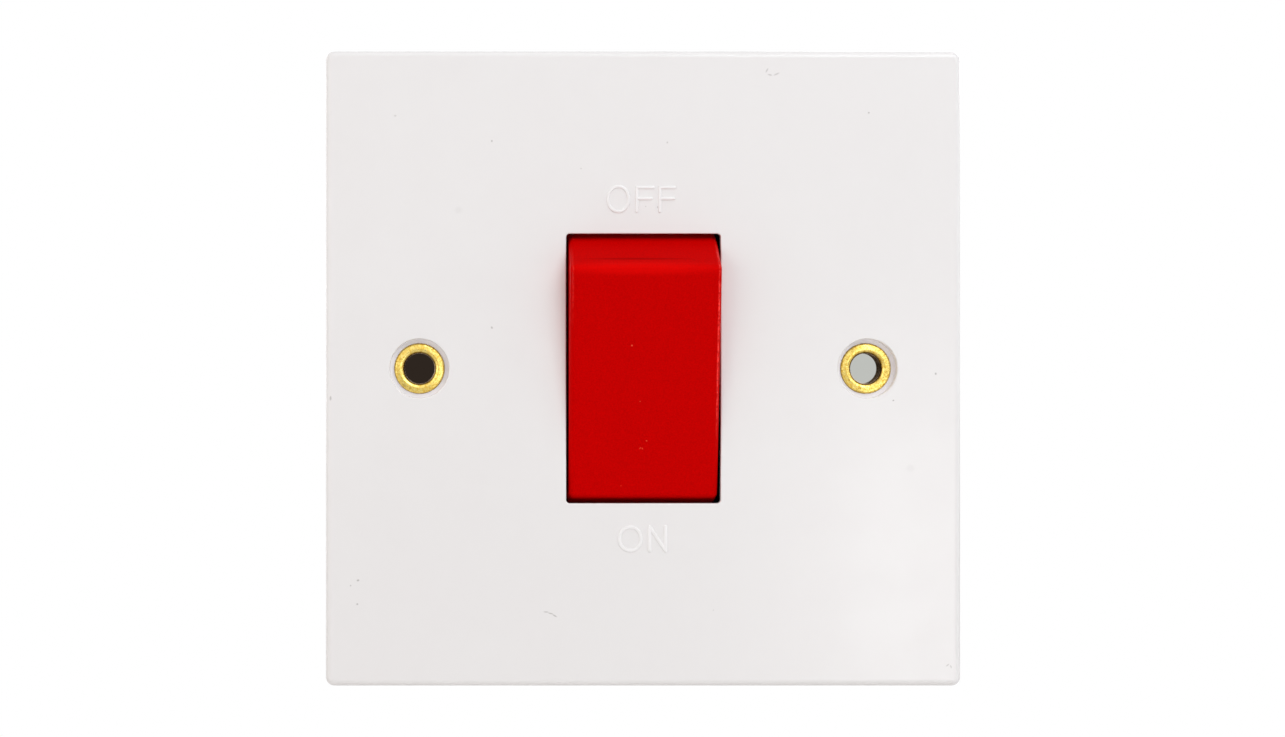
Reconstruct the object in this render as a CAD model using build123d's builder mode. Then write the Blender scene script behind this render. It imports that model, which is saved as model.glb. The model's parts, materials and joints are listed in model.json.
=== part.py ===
from build123d import *
from math import asin, cos, radians, sin, sqrt
import os

os.makedirs("parts", exist_ok=True)

# A one-gang double pole switch for a wall box, in millimetres.
# +X is right and +Z is up as it hangs on the wall, and +Y goes back into the wall.
# The origin is the centre of the plate, on the plane where its rim meets the wall.
# It is modelled switched ON: the foot of the rocker is pressed in.

# Driving dimensions of the plate
PLATE_SIZE = 86.0
PLATE_DEPTH = 9.0
PLATE_DRAFT_DEG = 1.6
PLATE_CORNER_R = 1.4
PLATE_EDGE_R = 0.9
FACE_WALL = 2.6
RIM_WALL = 2.2
RIB_WIDTH = 1.2
RIB_HEIGHT = 2.4
RIB_OVERLAP = 0.6
RIB_WELL_GAP = 5.0
FIXING_CENTRES = 60.3

# Opening for the rocker
OPENING_WIDTH = 20.8
OPENING_HEIGHT = 36.3
OPENING_CORNER_R = 0.5
OPENING_EDGE_R = 0.15
OPENING_LIP = 0.8
OPENING_RELIEF = 0.9

# Rocker and how far it tilts each way from its middle position
PIVOT_Y = 1.1
ROCKER_TILT_DEG = 9.0
ROCKER_WIDTH = 20.1
ROCKER_FACE = 12.1
ROCKER_HALF_LENGTH = 15.6
ROCKER_WALL = 1.8
ROCKER_SKIRT = 3.0
ROCKER_EDGE_R = 0.7
ROCKER_CREASE_R = 0.8
ROCKER_END_LEAN_DEG = 28.5
ROCKER_END_BLEND_R = 4.0
SWING_GAP = 0.4
TRUNNION_R = 2.1
TRUNNION_LENGTH = 2.5
BEARING_CLEARANCE = 0.05
CHEEK_R = 4.2
CHEEK_FOOT_U = 7.35
CHEEK_OVERLAP = 1.0
ROCKER_RIB_DEPTH = 3.0

# Plungers and springs, one for each pole
POLE_X = 5.5
TUBE_R = 3.0
TUBE_END = -6.5
BORE_R = 1.8
BORE_TOP = 8.3
PLUNGER_R = 1.75
PLUNGER_TIP_CENTRE = -9.0
PLUNGER_INNER = -1.5
SPRING_WIRE_R = 0.24
SPRING_TURNS = 5
SPRING_END_GAP = 0.02
SPRING_SIDE_GAP = 0.06

# Rocking contact arms
ARM_TILT_DEG = 8.0
ARM_WIDTH = 5.4
ARM_BACK = 0.3
ARM_FRONT = 1.8
ARM_TOP = 15.2
ARM_FOOT = -10.5
ARM_CORNER_R = 1.2
MIDWAY_GAP = 0.06
FULCRUM_R = 1.0
FULCRUM_NECK = 1.5
FULCRUM_FOOT_FORWARD = -1.6
FULCRUM_SIDE_GAP = 0.2
TIP_U = 12.5
TIP_R = 2.5
TIP_DOME_R = 8.0
TIP_HEIGHT = 1.2
FIXED_TIP_R = 2.7
FIXED_TIP_HEIGHT = 1.0
FIXED_TIP_CHAMFER = 0.2
CONTACT_GAP = 0.06

# Mechanism mouldings
FRAME_FRONT_Y = -5.6
FRAME_BACK_Y = 9.4
WELL_FLOOR_Y = 8.0
WELL_WIDTH = 21.2
WELL_HEIGHT = 41.2
WELL_WALL = 3.2
WELL_CORNER_R = 0.8
WELL_OUTER_CORNER_R = 1.5
LEAD_IN_WIDTH = 4.6
LEAD_IN_DEPTH = 0.9
PLUNGER_SLOT_GAP = 0.8
PLUNGER_SLOT_LENGTH = 12.0
EAR_FRONT_Y = -1.0
EAR_BACK_Y = 2.0
EAR_WIDTH = 44.0
EAR_HEIGHT = 40.0
CAP_THICKNESS = 3.0
PAD_INSET = 1.0
GUSSET_OVERHANG = 3.2
GUSSET_WIDTH = 7.0
BASE_WIDTH = 34.0
BASE_HEIGHT = 62.0
BASE_BACK_Y = 25.0
BASE_CORNER_R = 2.0
BASE_EDGE_R = 1.0
BARRIER_RIB_WIDTH = 1.8
BARRIER_RIB_INSET = 2.0
BARRIER_RIB_SUNK = 0.5
BARRIER_RIB_DEPTH = 2.5
BARRIER_HALF = 1.5
CHAMBER_OUTER_X = 9.2
CHAMBER_TOP = 17.0
CHAMBER_FOOT = -12.5

# Terminals
BLOCK_X = 9.5
BLOCK_WIDTH = 11.0
BLOCK_FRONT_Y = 11.2
BLOCK_BACK_Y = 22.5
BLOCK_INNER_Z = 18.4
BLOCK_OUTER_Z = 29.4
BLOCK_CORNER_R = 0.8
WIRE_BORE_R = 3.2
WIRE_BORE_Y = 15.6
WIRE_BORE_DEPTH = 9.5
WIRE_ENTRY_R = 3.6
STRAP_THICKNESS = 1.6
STRAP_WIDTH = 5.6
STRAP_CLEARANCE = 0.1
SUPPLY_STRAP_TOP = 2.6
TONGUE_MARGIN = 0.6
PIP_R = 1.5
PIP_DRAFT_DEG = 8.0
PIP_FROM_FOOT = 2.0
PIP_GAP = 0.08
SCREW_R = 2.0
SCREW_HEAD_R = 3.3
SCREW_HEAD_HEIGHT = 2.2
SCREW_SHANK = 6.0
SCREW_SLOT = 1.0
SCREW_WELL_R = 3.8
SCREW_TIP_GAP = 0.1
POCKET_CLEARANCE = 0.1

# Earth connection, behind the left eyelet
EARTH_STRAP_THICKNESS = 0.8
EARTH_STRAP_WIDTH = 6.0
EARTH_BLOCK_Z = -24.5
EARTH_BLOCK_WIDTH = 8.0
EARTH_BLOCK_DEPTH = 12.6
EARTH_BLOCK_LENGTH = 9.0
EARTH_BORE_R = 2.4
EARTH_BORE_DEPTH = 7.5
EARTH_FIN = 1.2
EARTH_FIN_LENGTH = 7.0
EARTH_FIN_REACH = 4.0
EARTH_STRAP_SLACK = 0.2
EARTH_RING_INSET = 0.6
EARTH_BLOCK_CORNER_R = 0.6
EARTH_BORE_WALL = 5.2

# Eyelets
POCKET_R = 4.0
EYELET_TOP_BELOW = 0.95
EYELET_FLANGE_R = 3.42
EYELET_FLANGE = 0.45
EYELET_FALL = 0.06
EYELET_BORE_R = 2.05
EYELET_BARREL_R = 2.6
EYELET_BACK_Y = -5.0
EYELET_LIP = 0.7
EYELET_LIP_CREST = 0.2
EYELET_THROAT_R = 0.6
EYELET_RIM_R = 0.36
BOSS_R = 5.6

# Self-tapping screws
TAPPING_R = 1.45
TAPPING_CLEAR_R = 1.7
TAPPING_SPARE = 0.4
PAN_HEAD_GAP = 0.3
PAN_HEAD_R = 2.8
PAN_HEAD_HEIGHT = 1.9
EAR_SCREW_X = 18.8
EAR_SCREW_Z = 15.0
EAR_SCREW_TIP_Y = -5.2
POST_R = 3.1
BASE_SCREW_X = 13.2
BASE_SCREW_SEAT_Y = 14.0
BASE_SCREW_TIP_Y = 4.0

# Derived places
FRONT_Y = -PLATE_DEPTH
FACE_BACK_Y = FRONT_Y + FACE_WALL
FIX_X = FIXING_CENTRES / 2
ROCKER_END_R = sqrt(ROCKER_FACE**2 + ROCKER_HALF_LENGTH**2)
FLARE_R = ROCKER_END_R + SWING_GAP
POCKET_FLOOR_Y = FRONT_Y + EYELET_TOP_BELOW + EYELET_FLANGE
FULCRUM_Y = PIVOT_Y - PLUNGER_TIP_CENTRE + PLUNGER_R + ARM_FRONT + MIDWAY_GAP
ARM_COS = cos(radians(ARM_TILT_DEG))
ARM_SIN = sin(radians(ARM_TILT_DEG))
DOME_V = ARM_BACK - TIP_HEIGHT + TIP_DOME_R
TIP_BACK_Y = FULCRUM_Y - DOME_V * ARM_COS + TIP_U * ARM_SIN + TIP_DOME_R
CONTACT_Z = TIP_U * ARM_COS + DOME_V * ARM_SIN
FIXED_TIP_Y = TIP_BACK_Y + CONTACT_GAP
STRAP_Y = FIXED_TIP_Y + FIXED_TIP_HEIGHT
CHAMBER_FLOOR_Y = STRAP_Y + STRAP_THICKNESS
BLOCK_DEPTH = BLOCK_BACK_Y - BLOCK_FRONT_Y
BLOCK_LENGTH = BLOCK_OUTER_Z - BLOCK_INNER_Z
BLOCK_Z = (BLOCK_OUTER_Z + BLOCK_INNER_Z) / 2
SCREW_TIP_Y = WIRE_BORE_Y + WIRE_BORE_R + SCREW_TIP_GAP
EARTH_STRAP_Y = EYELET_BACK_Y - EARTH_STRAP_THICKNESS
EARTH_BORE_Y = EYELET_BACK_Y + EARTH_BORE_WALL + EARTH_BORE_R
EARTH_BACK_Y = EYELET_BACK_Y + EARTH_BLOCK_DEPTH
EARTH_FOOT_Z = EARTH_BLOCK_Z - EARTH_BLOCK_LENGTH / 2
EARTH_SCREW_TIP_Y = EARTH_BORE_Y + EARTH_BORE_R + SCREW_TIP_GAP
EAR_PLACES = [(x, z) for x in (-EAR_SCREW_X, EAR_SCREW_X) for z in (-EAR_SCREW_Z, EAR_SCREW_Z)]
BASE_PLACES = [(-BASE_SCREW_X, 0), (BASE_SCREW_X, 0)]
POLES = [(-POLE_X, 0), (POLE_X, 0)]

SIDES = {"left": -1, "right": 1}


def facing_front(y):
    """The plane at depth y that faces the room: its x is +X, its y is +Z, and it extrudes towards -Y."""
    return Plane(origin=(0, y, 0), x_dir=(1, 0, 0), z_dir=(0, -1, 0))


def swung(y, tilt_deg, x=0.0):
    """The plane across X through the swing axis at depth y, tilted top-forward: x is up, y is forward."""
    c = cos(radians(tilt_deg))
    s = sin(radians(tilt_deg))
    return Plane(origin=(x, y, 0), x_dir=(0, -s, c), z_dir=(1, 0, 0))


def swung_front(y, tilt_deg, x=0.0, forward=0.0):
    """The plane that faces forward on a swung piece, at a distance forward of its axis."""
    c = cos(radians(tilt_deg))
    s = sin(radians(tilt_deg))
    origin = (x, y - forward * c, -forward * s)
    return Plane(origin=origin, x_dir=(1, 0, 0), z_dir=(0, -c, -s))


def save(part, label):
    """Label a finished piece and write it."""
    part.label = label
    export_step(part, f"parts/{label}.step")


# Face plate
with BuildPart() as face_plate:
    with BuildSketch(facing_front(0)):
        RectangleRounded(PLATE_SIZE, PLATE_SIZE, PLATE_CORNER_R)
    extrude(amount=PLATE_DEPTH, taper=PLATE_DRAFT_DEG)
    fillet(face_plate.faces().sort_by(Axis.Y)[0].edges(), PLATE_EDGE_R)

    inner_size = PLATE_SIZE - 2 * RIM_WALL
    with BuildSketch(facing_front(0)):
        RectangleRounded(inner_size, inner_size, PLATE_CORNER_R)
    extrude(amount=PLATE_DEPTH - FACE_WALL, taper=PLATE_DRAFT_DEG, mode=Mode.SUBTRACT)

    # Bosses round the eyelets, the left one lower by the earth strap
    with BuildSketch(facing_front(FACE_BACK_Y)):
        with Locations((FIX_X, 0)):
            Circle(BOSS_R)
    extrude(amount=-(EYELET_BACK_Y - FACE_BACK_Y))
    with BuildSketch(facing_front(FACE_BACK_Y)):
        with Locations((-FIX_X, 0)):
            Circle(BOSS_R)
        with Locations((-FIX_X, EARTH_FOOT_Z / 2)):
            Rectangle(EARTH_STRAP_WIDTH, -EARTH_FOOT_Z)
    extrude(amount=-(EARTH_STRAP_Y - FACE_BACK_Y))

    # Fins that hold the earth terminal
    fin_gap = EARTH_BLOCK_WIDTH / 2 + EARTH_FIN / 2
    with BuildSketch(facing_front(FACE_BACK_Y)):
        with Locations((-FIX_X - fin_gap, EARTH_BLOCK_Z), (-FIX_X + fin_gap, EARTH_BLOCK_Z)):
            Rectangle(EARTH_FIN, EARTH_FIN_LENGTH)
    extrude(amount=-(EYELET_BACK_Y + EARTH_FIN_REACH - FACE_BACK_Y))

    # Posts for the frame screws, joined by ribs to the rim
    with BuildSketch(facing_front(FACE_BACK_Y)):
        with Locations(EAR_PLACES):
            Circle(POST_R)
    extrude(amount=-(EAR_FRONT_Y - FACE_BACK_Y))
    rib_run = PLATE_SIZE / 2 - RIM_WALL + RIB_OVERLAP
    post_rib = rib_run - EAR_SCREW_X
    post_rib_z = (rib_run + EAR_SCREW_Z) / 2
    middle_rib_foot = WELL_HEIGHT / 2 + RIB_WELL_GAP
    middle_rib_z = (rib_run + middle_rib_foot) / 2
    with BuildSketch(facing_front(FACE_BACK_Y)):
        for z in (-EAR_SCREW_Z, EAR_SCREW_Z):
            with Locations((EAR_SCREW_X + post_rib / 2, z), (-EAR_SCREW_X - post_rib / 2, z)):
                Rectangle(post_rib, RIB_WIDTH)
        for x in (-EAR_SCREW_X, EAR_SCREW_X):
            with Locations((x, post_rib_z), (x, -post_rib_z)):
                Rectangle(RIB_WIDTH, rib_run - EAR_SCREW_Z)
        with Locations((0, middle_rib_z), (0, -middle_rib_z)):
            Rectangle(RIB_WIDTH, rib_run - middle_rib_foot)
    extrude(amount=-RIB_HEIGHT)
    with BuildSketch(facing_front(EARTH_STRAP_Y)):
        with Locations((-FIX_X, EARTH_FOOT_Z / 2)):
            Rectangle(EARTH_STRAP_WIDTH + 2 * EARTH_STRAP_SLACK, -EARTH_FOOT_Z)
    extrude(amount=EARTH_STRAP_Y, mode=Mode.SUBTRACT)
    with BuildSketch(facing_front(EAR_FRONT_Y)):
        with Locations(EAR_PLACES):
            Circle(TAPPING_R)
    extrude(amount=EAR_FRONT_Y - EAR_SCREW_TIP_Y + TAPPING_SPARE, mode=Mode.SUBTRACT)

    # Rocker opening, with a thin lip in front, flared behind to the swing of the rocker's ends
    with BuildSketch(facing_front(FRONT_Y)):
        RectangleRounded(OPENING_WIDTH, OPENING_HEIGHT, OPENING_CORNER_R)
    extrude(amount=-FACE_WALL, mode=Mode.SUBTRACT)
    relief_width = OPENING_WIDTH + 2 * OPENING_RELIEF
    relief_height = OPENING_HEIGHT + 2 * OPENING_RELIEF
    with BuildSketch(facing_front(FRONT_Y + OPENING_LIP)):
        RectangleRounded(relief_width, relief_height, OPENING_CORNER_R + OPENING_RELIEF)
    extrude(amount=-(FACE_WALL - OPENING_LIP), mode=Mode.SUBTRACT)
    with BuildSketch(swung(PIVOT_Y, 0)):
        Circle(FLARE_R)
    extrude(amount=OPENING_WIDTH / 2, both=True, mode=Mode.SUBTRACT)

    # Eyelet pockets and the holes for their barrels
    for x in (-FIX_X, FIX_X):
        with BuildSketch(facing_front(FRONT_Y)):
            with Locations((x, 0)):
                Circle(POCKET_R)
        extrude(amount=-(POCKET_FLOOR_Y - FRONT_Y), mode=Mode.SUBTRACT)
        with BuildSketch(facing_front(FRONT_Y)):
            with Locations((x, 0)):
                Circle(EYELET_BARREL_R)
        extrude(amount=-PLATE_DEPTH, mode=Mode.SUBTRACT)
    front = face_plate.faces().sort_by(Axis.Y)[0]
    fillet(front.inner_wires().edges(), OPENING_EDGE_R)
save(face_plate.part, "face_plate")

# Rocker, on planes that swing with it
rocker_side = swung(PIVOT_Y, ROCKER_TILT_DEG)
skirt_u = sqrt(ROCKER_END_R**2 - ROCKER_SKIRT**2)
lean = radians(ROCKER_END_LEAN_DEG)
flat_length = 2 * (ROCKER_FACE * cos(lean) - ROCKER_HALF_LENGTH * sin(lean))
flat_end = (ROCKER_HALF_LENGTH + flat_length * sin(lean), ROCKER_FACE - flat_length * cos(lean))
mid_end = (asin(flat_end[1] / ROCKER_END_R) + asin(ROCKER_SKIRT / ROCKER_END_R)) / 2
end_mid = (ROCKER_END_R * cos(mid_end), ROCKER_END_R * sin(mid_end))
with BuildPart() as rocker:
    with BuildSketch(rocker_side):
        with BuildLine():
            Line((-ROCKER_HALF_LENGTH, ROCKER_FACE), (ROCKER_HALF_LENGTH, ROCKER_FACE))
            Line((ROCKER_HALF_LENGTH, ROCKER_FACE), flat_end)
            ThreePointArc(flat_end, end_mid, (skirt_u, ROCKER_SKIRT))
            Line((skirt_u, ROCKER_SKIRT), (-skirt_u, ROCKER_SKIRT))
            ThreePointArc((-skirt_u, ROCKER_SKIRT), (-end_mid[0], end_mid[1]), (-flat_end[0], flat_end[1]))
            Line((-flat_end[0], flat_end[1]), (-ROCKER_HALF_LENGTH, ROCKER_FACE))
        make_face()
    extrude(amount=ROCKER_WIDTH / 2, both=True)
    face_dir = rocker_side.y_dir
    across = rocker.edges().filter_by(Axis.X).sort_by(Axis((0, 0, 0), face_dir))
    fillet(across[-4:-2], ROCKER_END_BLEND_R)
    across = rocker.edges().filter_by(Axis.X).sort_by(Axis((0, 0, 0), face_dir))
    fillet(across[-2:], ROCKER_CREASE_R)
    rims = rocker.faces().filter_by(Axis.X).edges()
    skirt_plane = swung_front(PIVOT_Y, ROCKER_TILT_DEG, forward=ROCKER_SKIRT)
    fillet([e for e in rims if skirt_plane.to_local_coords(e.center()).Z > 0.01], ROCKER_EDGE_R)

    # Hollow behind the face, between the side walls
    with BuildSketch(rocker_side):
        with BuildLine():
            inner_r = ROCKER_END_R - ROCKER_WALL
            inner_face = ROCKER_FACE - ROCKER_WALL
            inner_u = sqrt(inner_r**2 - inner_face**2)
            open_u = sqrt(inner_r**2 - ROCKER_SKIRT**2)
            half = (asin(inner_face / inner_r) + asin(ROCKER_SKIRT / inner_r)) / 2
            inner_mid = (inner_r * cos(half), inner_r * sin(half))
            Line((-inner_u, inner_face), (inner_u, inner_face))
            ThreePointArc((inner_u, inner_face), inner_mid, (open_u, ROCKER_SKIRT))
            Line((open_u, ROCKER_SKIRT), (-open_u, ROCKER_SKIRT))
            ThreePointArc((-open_u, ROCKER_SKIRT), (-inner_mid[0], inner_mid[1]), (-inner_u, inner_face))
        make_face()
    extrude(amount=ROCKER_WIDTH / 2 - ROCKER_WALL, both=True, mode=Mode.SUBTRACT)

    # Rib along the middle, under the face
    with BuildSketch(rocker_side):
        with Locations((0, inner_face - ROCKER_RIB_DEPTH / 2)):
            Rectangle(2 * inner_u, ROCKER_RIB_DEPTH)
    extrude(amount=RIB_WIDTH / 2, both=True)

    # Cheeks that carry the trunnions
    for side in SIDES.values():
        with BuildSketch(swung(PIVOT_Y, ROCKER_TILT_DEG, side * (ROCKER_WIDTH / 2 - ROCKER_WALL / 2))):
            Circle(CHEEK_R)
            with BuildLine():
                Polyline(
                    (-CHEEK_R, 0),
                    (CHEEK_R, 0),
                    (CHEEK_FOOT_U, ROCKER_SKIRT),
                    (CHEEK_FOOT_U, ROCKER_SKIRT + CHEEK_OVERLAP),
                    (-CHEEK_FOOT_U, ROCKER_SKIRT + CHEEK_OVERLAP),
                    (-CHEEK_FOOT_U, ROCKER_SKIRT),
                    close=True,
                )
            make_face()
        extrude(amount=ROCKER_WALL / 2, both=True)
        with BuildSketch(swung(PIVOT_Y, ROCKER_TILT_DEG, side * ROCKER_WIDTH / 2)):
            Circle(TRUNNION_R)
        extrude(amount=side * TRUNNION_LENGTH)

    # Tubes for the plungers
    tube_plane = swung_front(PIVOT_Y, ROCKER_TILT_DEG, forward=TUBE_END)
    with BuildSketch(tube_plane):
        with Locations(POLES):
            Circle(TUBE_R)
    extrude(amount=inner_face - TUBE_END)
    with BuildSketch(tube_plane):
        with Locations(POLES):
            Circle(BORE_R)
    extrude(amount=BORE_TOP - TUBE_END, mode=Mode.SUBTRACT)
save(rocker.part, "rocker")

# Plungers with round tips, and their springs
for name, side in SIDES.items():
    x = side * POLE_X
    with BuildPart() as plunger:
        with BuildSketch(swung(PIVOT_Y, ROCKER_TILT_DEG, x)):
            with BuildLine():
                Line((0, PLUNGER_INNER), (PLUNGER_R, PLUNGER_INNER))
                Line((PLUNGER_R, PLUNGER_INNER), (PLUNGER_R, PLUNGER_TIP_CENTRE))
                RadiusArc(
                    (PLUNGER_R, PLUNGER_TIP_CENTRE), (0, PLUNGER_TIP_CENTRE - PLUNGER_R), PLUNGER_R
                )
                Line((0, PLUNGER_TIP_CENTRE - PLUNGER_R), (0, PLUNGER_INNER))
            make_face()
        axis_plane = swung_front(PIVOT_Y, ROCKER_TILT_DEG, x)
        revolve(axis=Axis(axis_plane.origin, axis_plane.z_dir))
    save(plunger.part, f"{name}_plunger")

    spring_start = PLUNGER_INNER + SPRING_WIRE_R + SPRING_END_GAP
    spring_length = BORE_TOP - SPRING_WIRE_R - SPRING_END_GAP - spring_start
    spring_plane = swung_front(PIVOT_Y, ROCKER_TILT_DEG, x, spring_start)
    with BuildPart() as plunger_spring:
        with BuildLine() as coil:
            Helix(
                spring_length / SPRING_TURNS,
                spring_length,
                BORE_R - SPRING_WIRE_R - SPRING_SIDE_GAP,
                center=spring_plane.origin,
                direction=spring_plane.z_dir,
            )
        with BuildSketch(Plane(origin=coil.line @ 0, z_dir=coil.line % 0)):
            Circle(SPRING_WIRE_R)
        sweep(path=coil.line, is_frenet=True)
    save(plunger_spring.part, f"{name}_plunger_spring")

# Contact arms that rock on the fulcrums, with domed silver tips
for name, side in SIDES.items():
    x = side * POLE_X
    arm_side = swung(FULCRUM_Y, -ARM_TILT_DEG, x)
    arm_middle = (ARM_FRONT + ARM_BACK) / 2
    with BuildPart() as contact_arm:
        with BuildSketch(arm_side):
            with Locations(((ARM_TOP + ARM_FOOT) / 2, arm_middle)):
                Rectangle(ARM_TOP - ARM_FOOT, ARM_FRONT - ARM_BACK)
            Circle(FULCRUM_R + BEARING_CLEARANCE, mode=Mode.SUBTRACT)
        extrude(amount=ARM_WIDTH / 2, both=True)
        corners = contact_arm.edges().filter_by(Axis((0, 0, 0), arm_side.y_dir))
        fillet(corners, ARM_CORNER_R)
    save(contact_arm.part, f"{name}_contact_arm")

    with BuildPart() as moving_tip:
        with BuildSketch(arm_side):
            with BuildLine():
                rim_v = ARM_BACK - TIP_HEIGHT + TIP_DOME_R - sqrt(TIP_DOME_R**2 - TIP_R**2)
                Line((TIP_U, ARM_BACK), (TIP_U + TIP_R, ARM_BACK))
                Line((TIP_U + TIP_R, ARM_BACK), (TIP_U + TIP_R, rim_v))
                RadiusArc((TIP_U + TIP_R, rim_v), (TIP_U, ARM_BACK - TIP_HEIGHT), TIP_DOME_R)
                Line((TIP_U, ARM_BACK - TIP_HEIGHT), (TIP_U, ARM_BACK))
            make_face()
        tip_foot = arm_side.from_local_coords(Vector(TIP_U, 0, 0))
        revolve(axis=Axis(tip_foot, arm_side.y_dir))
    save(moving_tip.part, f"{name}_moving_tip")

    with BuildPart() as fixed_tip:
        with BuildSketch(facing_front(STRAP_Y)):
            with Locations((x, CONTACT_Z)):
                Circle(FIXED_TIP_R)
        extrude(amount=FIXED_TIP_HEIGHT)
        chamfer(fixed_tip.faces().sort_by(Axis.Y)[0].edges(), FIXED_TIP_CHAMFER)
    save(fixed_tip.part, f"{name}_fixed_tip")


def terminal_block(side, end):
    """A brass pillar block with its wire bore and screw hole: side is -1 or 1, end is -1 foot or 1 top."""
    with BuildPart() as block:
        with BuildSketch(facing_front(BLOCK_FRONT_Y)):
            with Locations((side * BLOCK_X, end * BLOCK_Z)):
                RectangleRounded(BLOCK_WIDTH, BLOCK_LENGTH, BLOCK_CORNER_R)
        extrude(amount=-BLOCK_DEPTH)
        with BuildSketch(Plane.XY.offset(end * BLOCK_OUTER_Z)):
            with Locations((side * BLOCK_X, WIRE_BORE_Y)):
                Circle(WIRE_BORE_R)
        extrude(amount=-end * WIRE_BORE_DEPTH, mode=Mode.SUBTRACT)
        with BuildSketch(facing_front(BLOCK_BACK_Y)):
            with Locations((side * BLOCK_X, end * BLOCK_Z)):
                Circle(SCREW_R)
        extrude(amount=BLOCK_BACK_Y - WIRE_BORE_Y, mode=Mode.SUBTRACT)
    return block.part


# Load terminals, at the top, with the tongue under each fixed contact
tongue_foot = CONTACT_Z - FIXED_TIP_R - TONGUE_MARGIN
for name, side in SIDES.items():
    load_block = terminal_block(side, 1)
    with BuildPart() as load_terminal:
        add(load_block)
        with BuildSketch(facing_front(STRAP_Y)):
            with Locations((side * POLE_X, (tongue_foot + BLOCK_INNER_Z) / 2)):
                Rectangle(STRAP_WIDTH, BLOCK_INNER_Z - tongue_foot)
        extrude(amount=-STRAP_THICKNESS)
    save(load_terminal.part, f"{name}_load_terminal")

# Supply terminals, at the foot, with the fulcrum and the resting pip of each arm
pip_u = ARM_FOOT + PIP_FROM_FOOT
pip_top_y = FULCRUM_Y - ARM_BACK * ARM_COS - pip_u * ARM_SIN + PIP_R * ARM_SIN + PIP_GAP
strap_top = SUPPLY_STRAP_TOP
strap_forward = FULCRUM_Y - STRAP_Y
for name, side in SIDES.items():
    supply_block = terminal_block(side, -1)
    with BuildPart() as supply_terminal:
        add(supply_block)
        with BuildSketch(facing_front(STRAP_Y)):
            with Locations((side * POLE_X, (strap_top - BLOCK_INNER_Z) / 2)):
                Rectangle(STRAP_WIDTH, strap_top + BLOCK_INNER_Z)
        extrude(amount=-STRAP_THICKNESS)
        with BuildSketch(swung(FULCRUM_Y, 0, side * POLE_X)):
            Circle(FULCRUM_R)
            with Locations((0, -FULCRUM_R)):
                Rectangle(FULCRUM_NECK, 2 * FULCRUM_R)
            with BuildLine():
                Polyline(
                    (-FULCRUM_R, FULCRUM_FOOT_FORWARD),
                    (FULCRUM_R, FULCRUM_FOOT_FORWARD),
                    (2 * FULCRUM_R, strap_forward),
                    (-2 * FULCRUM_R, strap_forward),
                    close=True,
                )
            make_face()
        extrude(amount=ARM_WIDTH / 2 - FULCRUM_SIDE_GAP, both=True)
        with BuildSketch(facing_front(STRAP_Y)):
            with Locations((side * POLE_X, pip_u * ARM_COS)):
                Circle(PIP_R)
        extrude(amount=STRAP_Y - pip_top_y, taper=PIP_DRAFT_DEG)
    save(supply_terminal.part, f"{name}_supply_terminal")


def clamp_screw(x, z, tip_y):
    """A slotted cheese-head clamping screw along Y with its tip at tip_y."""
    head_y = tip_y + SCREW_SHANK
    with BuildPart() as screw:
        with BuildSketch(facing_front(tip_y)):
            with Locations((x, z)):
                Circle(SCREW_R)
        extrude(amount=-SCREW_SHANK)
        with BuildSketch(facing_front(head_y)):
            with Locations((x, z)):
                Circle(SCREW_HEAD_R)
        extrude(amount=-SCREW_HEAD_HEIGHT)
        with BuildSketch(facing_front(head_y + SCREW_HEAD_HEIGHT)):
            with Locations((x, z)):
                Rectangle(3 * SCREW_HEAD_R, SCREW_SLOT)
        extrude(amount=SCREW_HEAD_HEIGHT / 2, mode=Mode.SUBTRACT)
    return screw.part


# Clamping screws, backed off clear of the wire bores
for name, side in SIDES.items():
    for place, end in (("load", 1), ("supply", -1)):
        save(clamp_screw(side * BLOCK_X, end * BLOCK_Z, SCREW_TIP_Y), f"{name}_{place}_screw")

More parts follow.
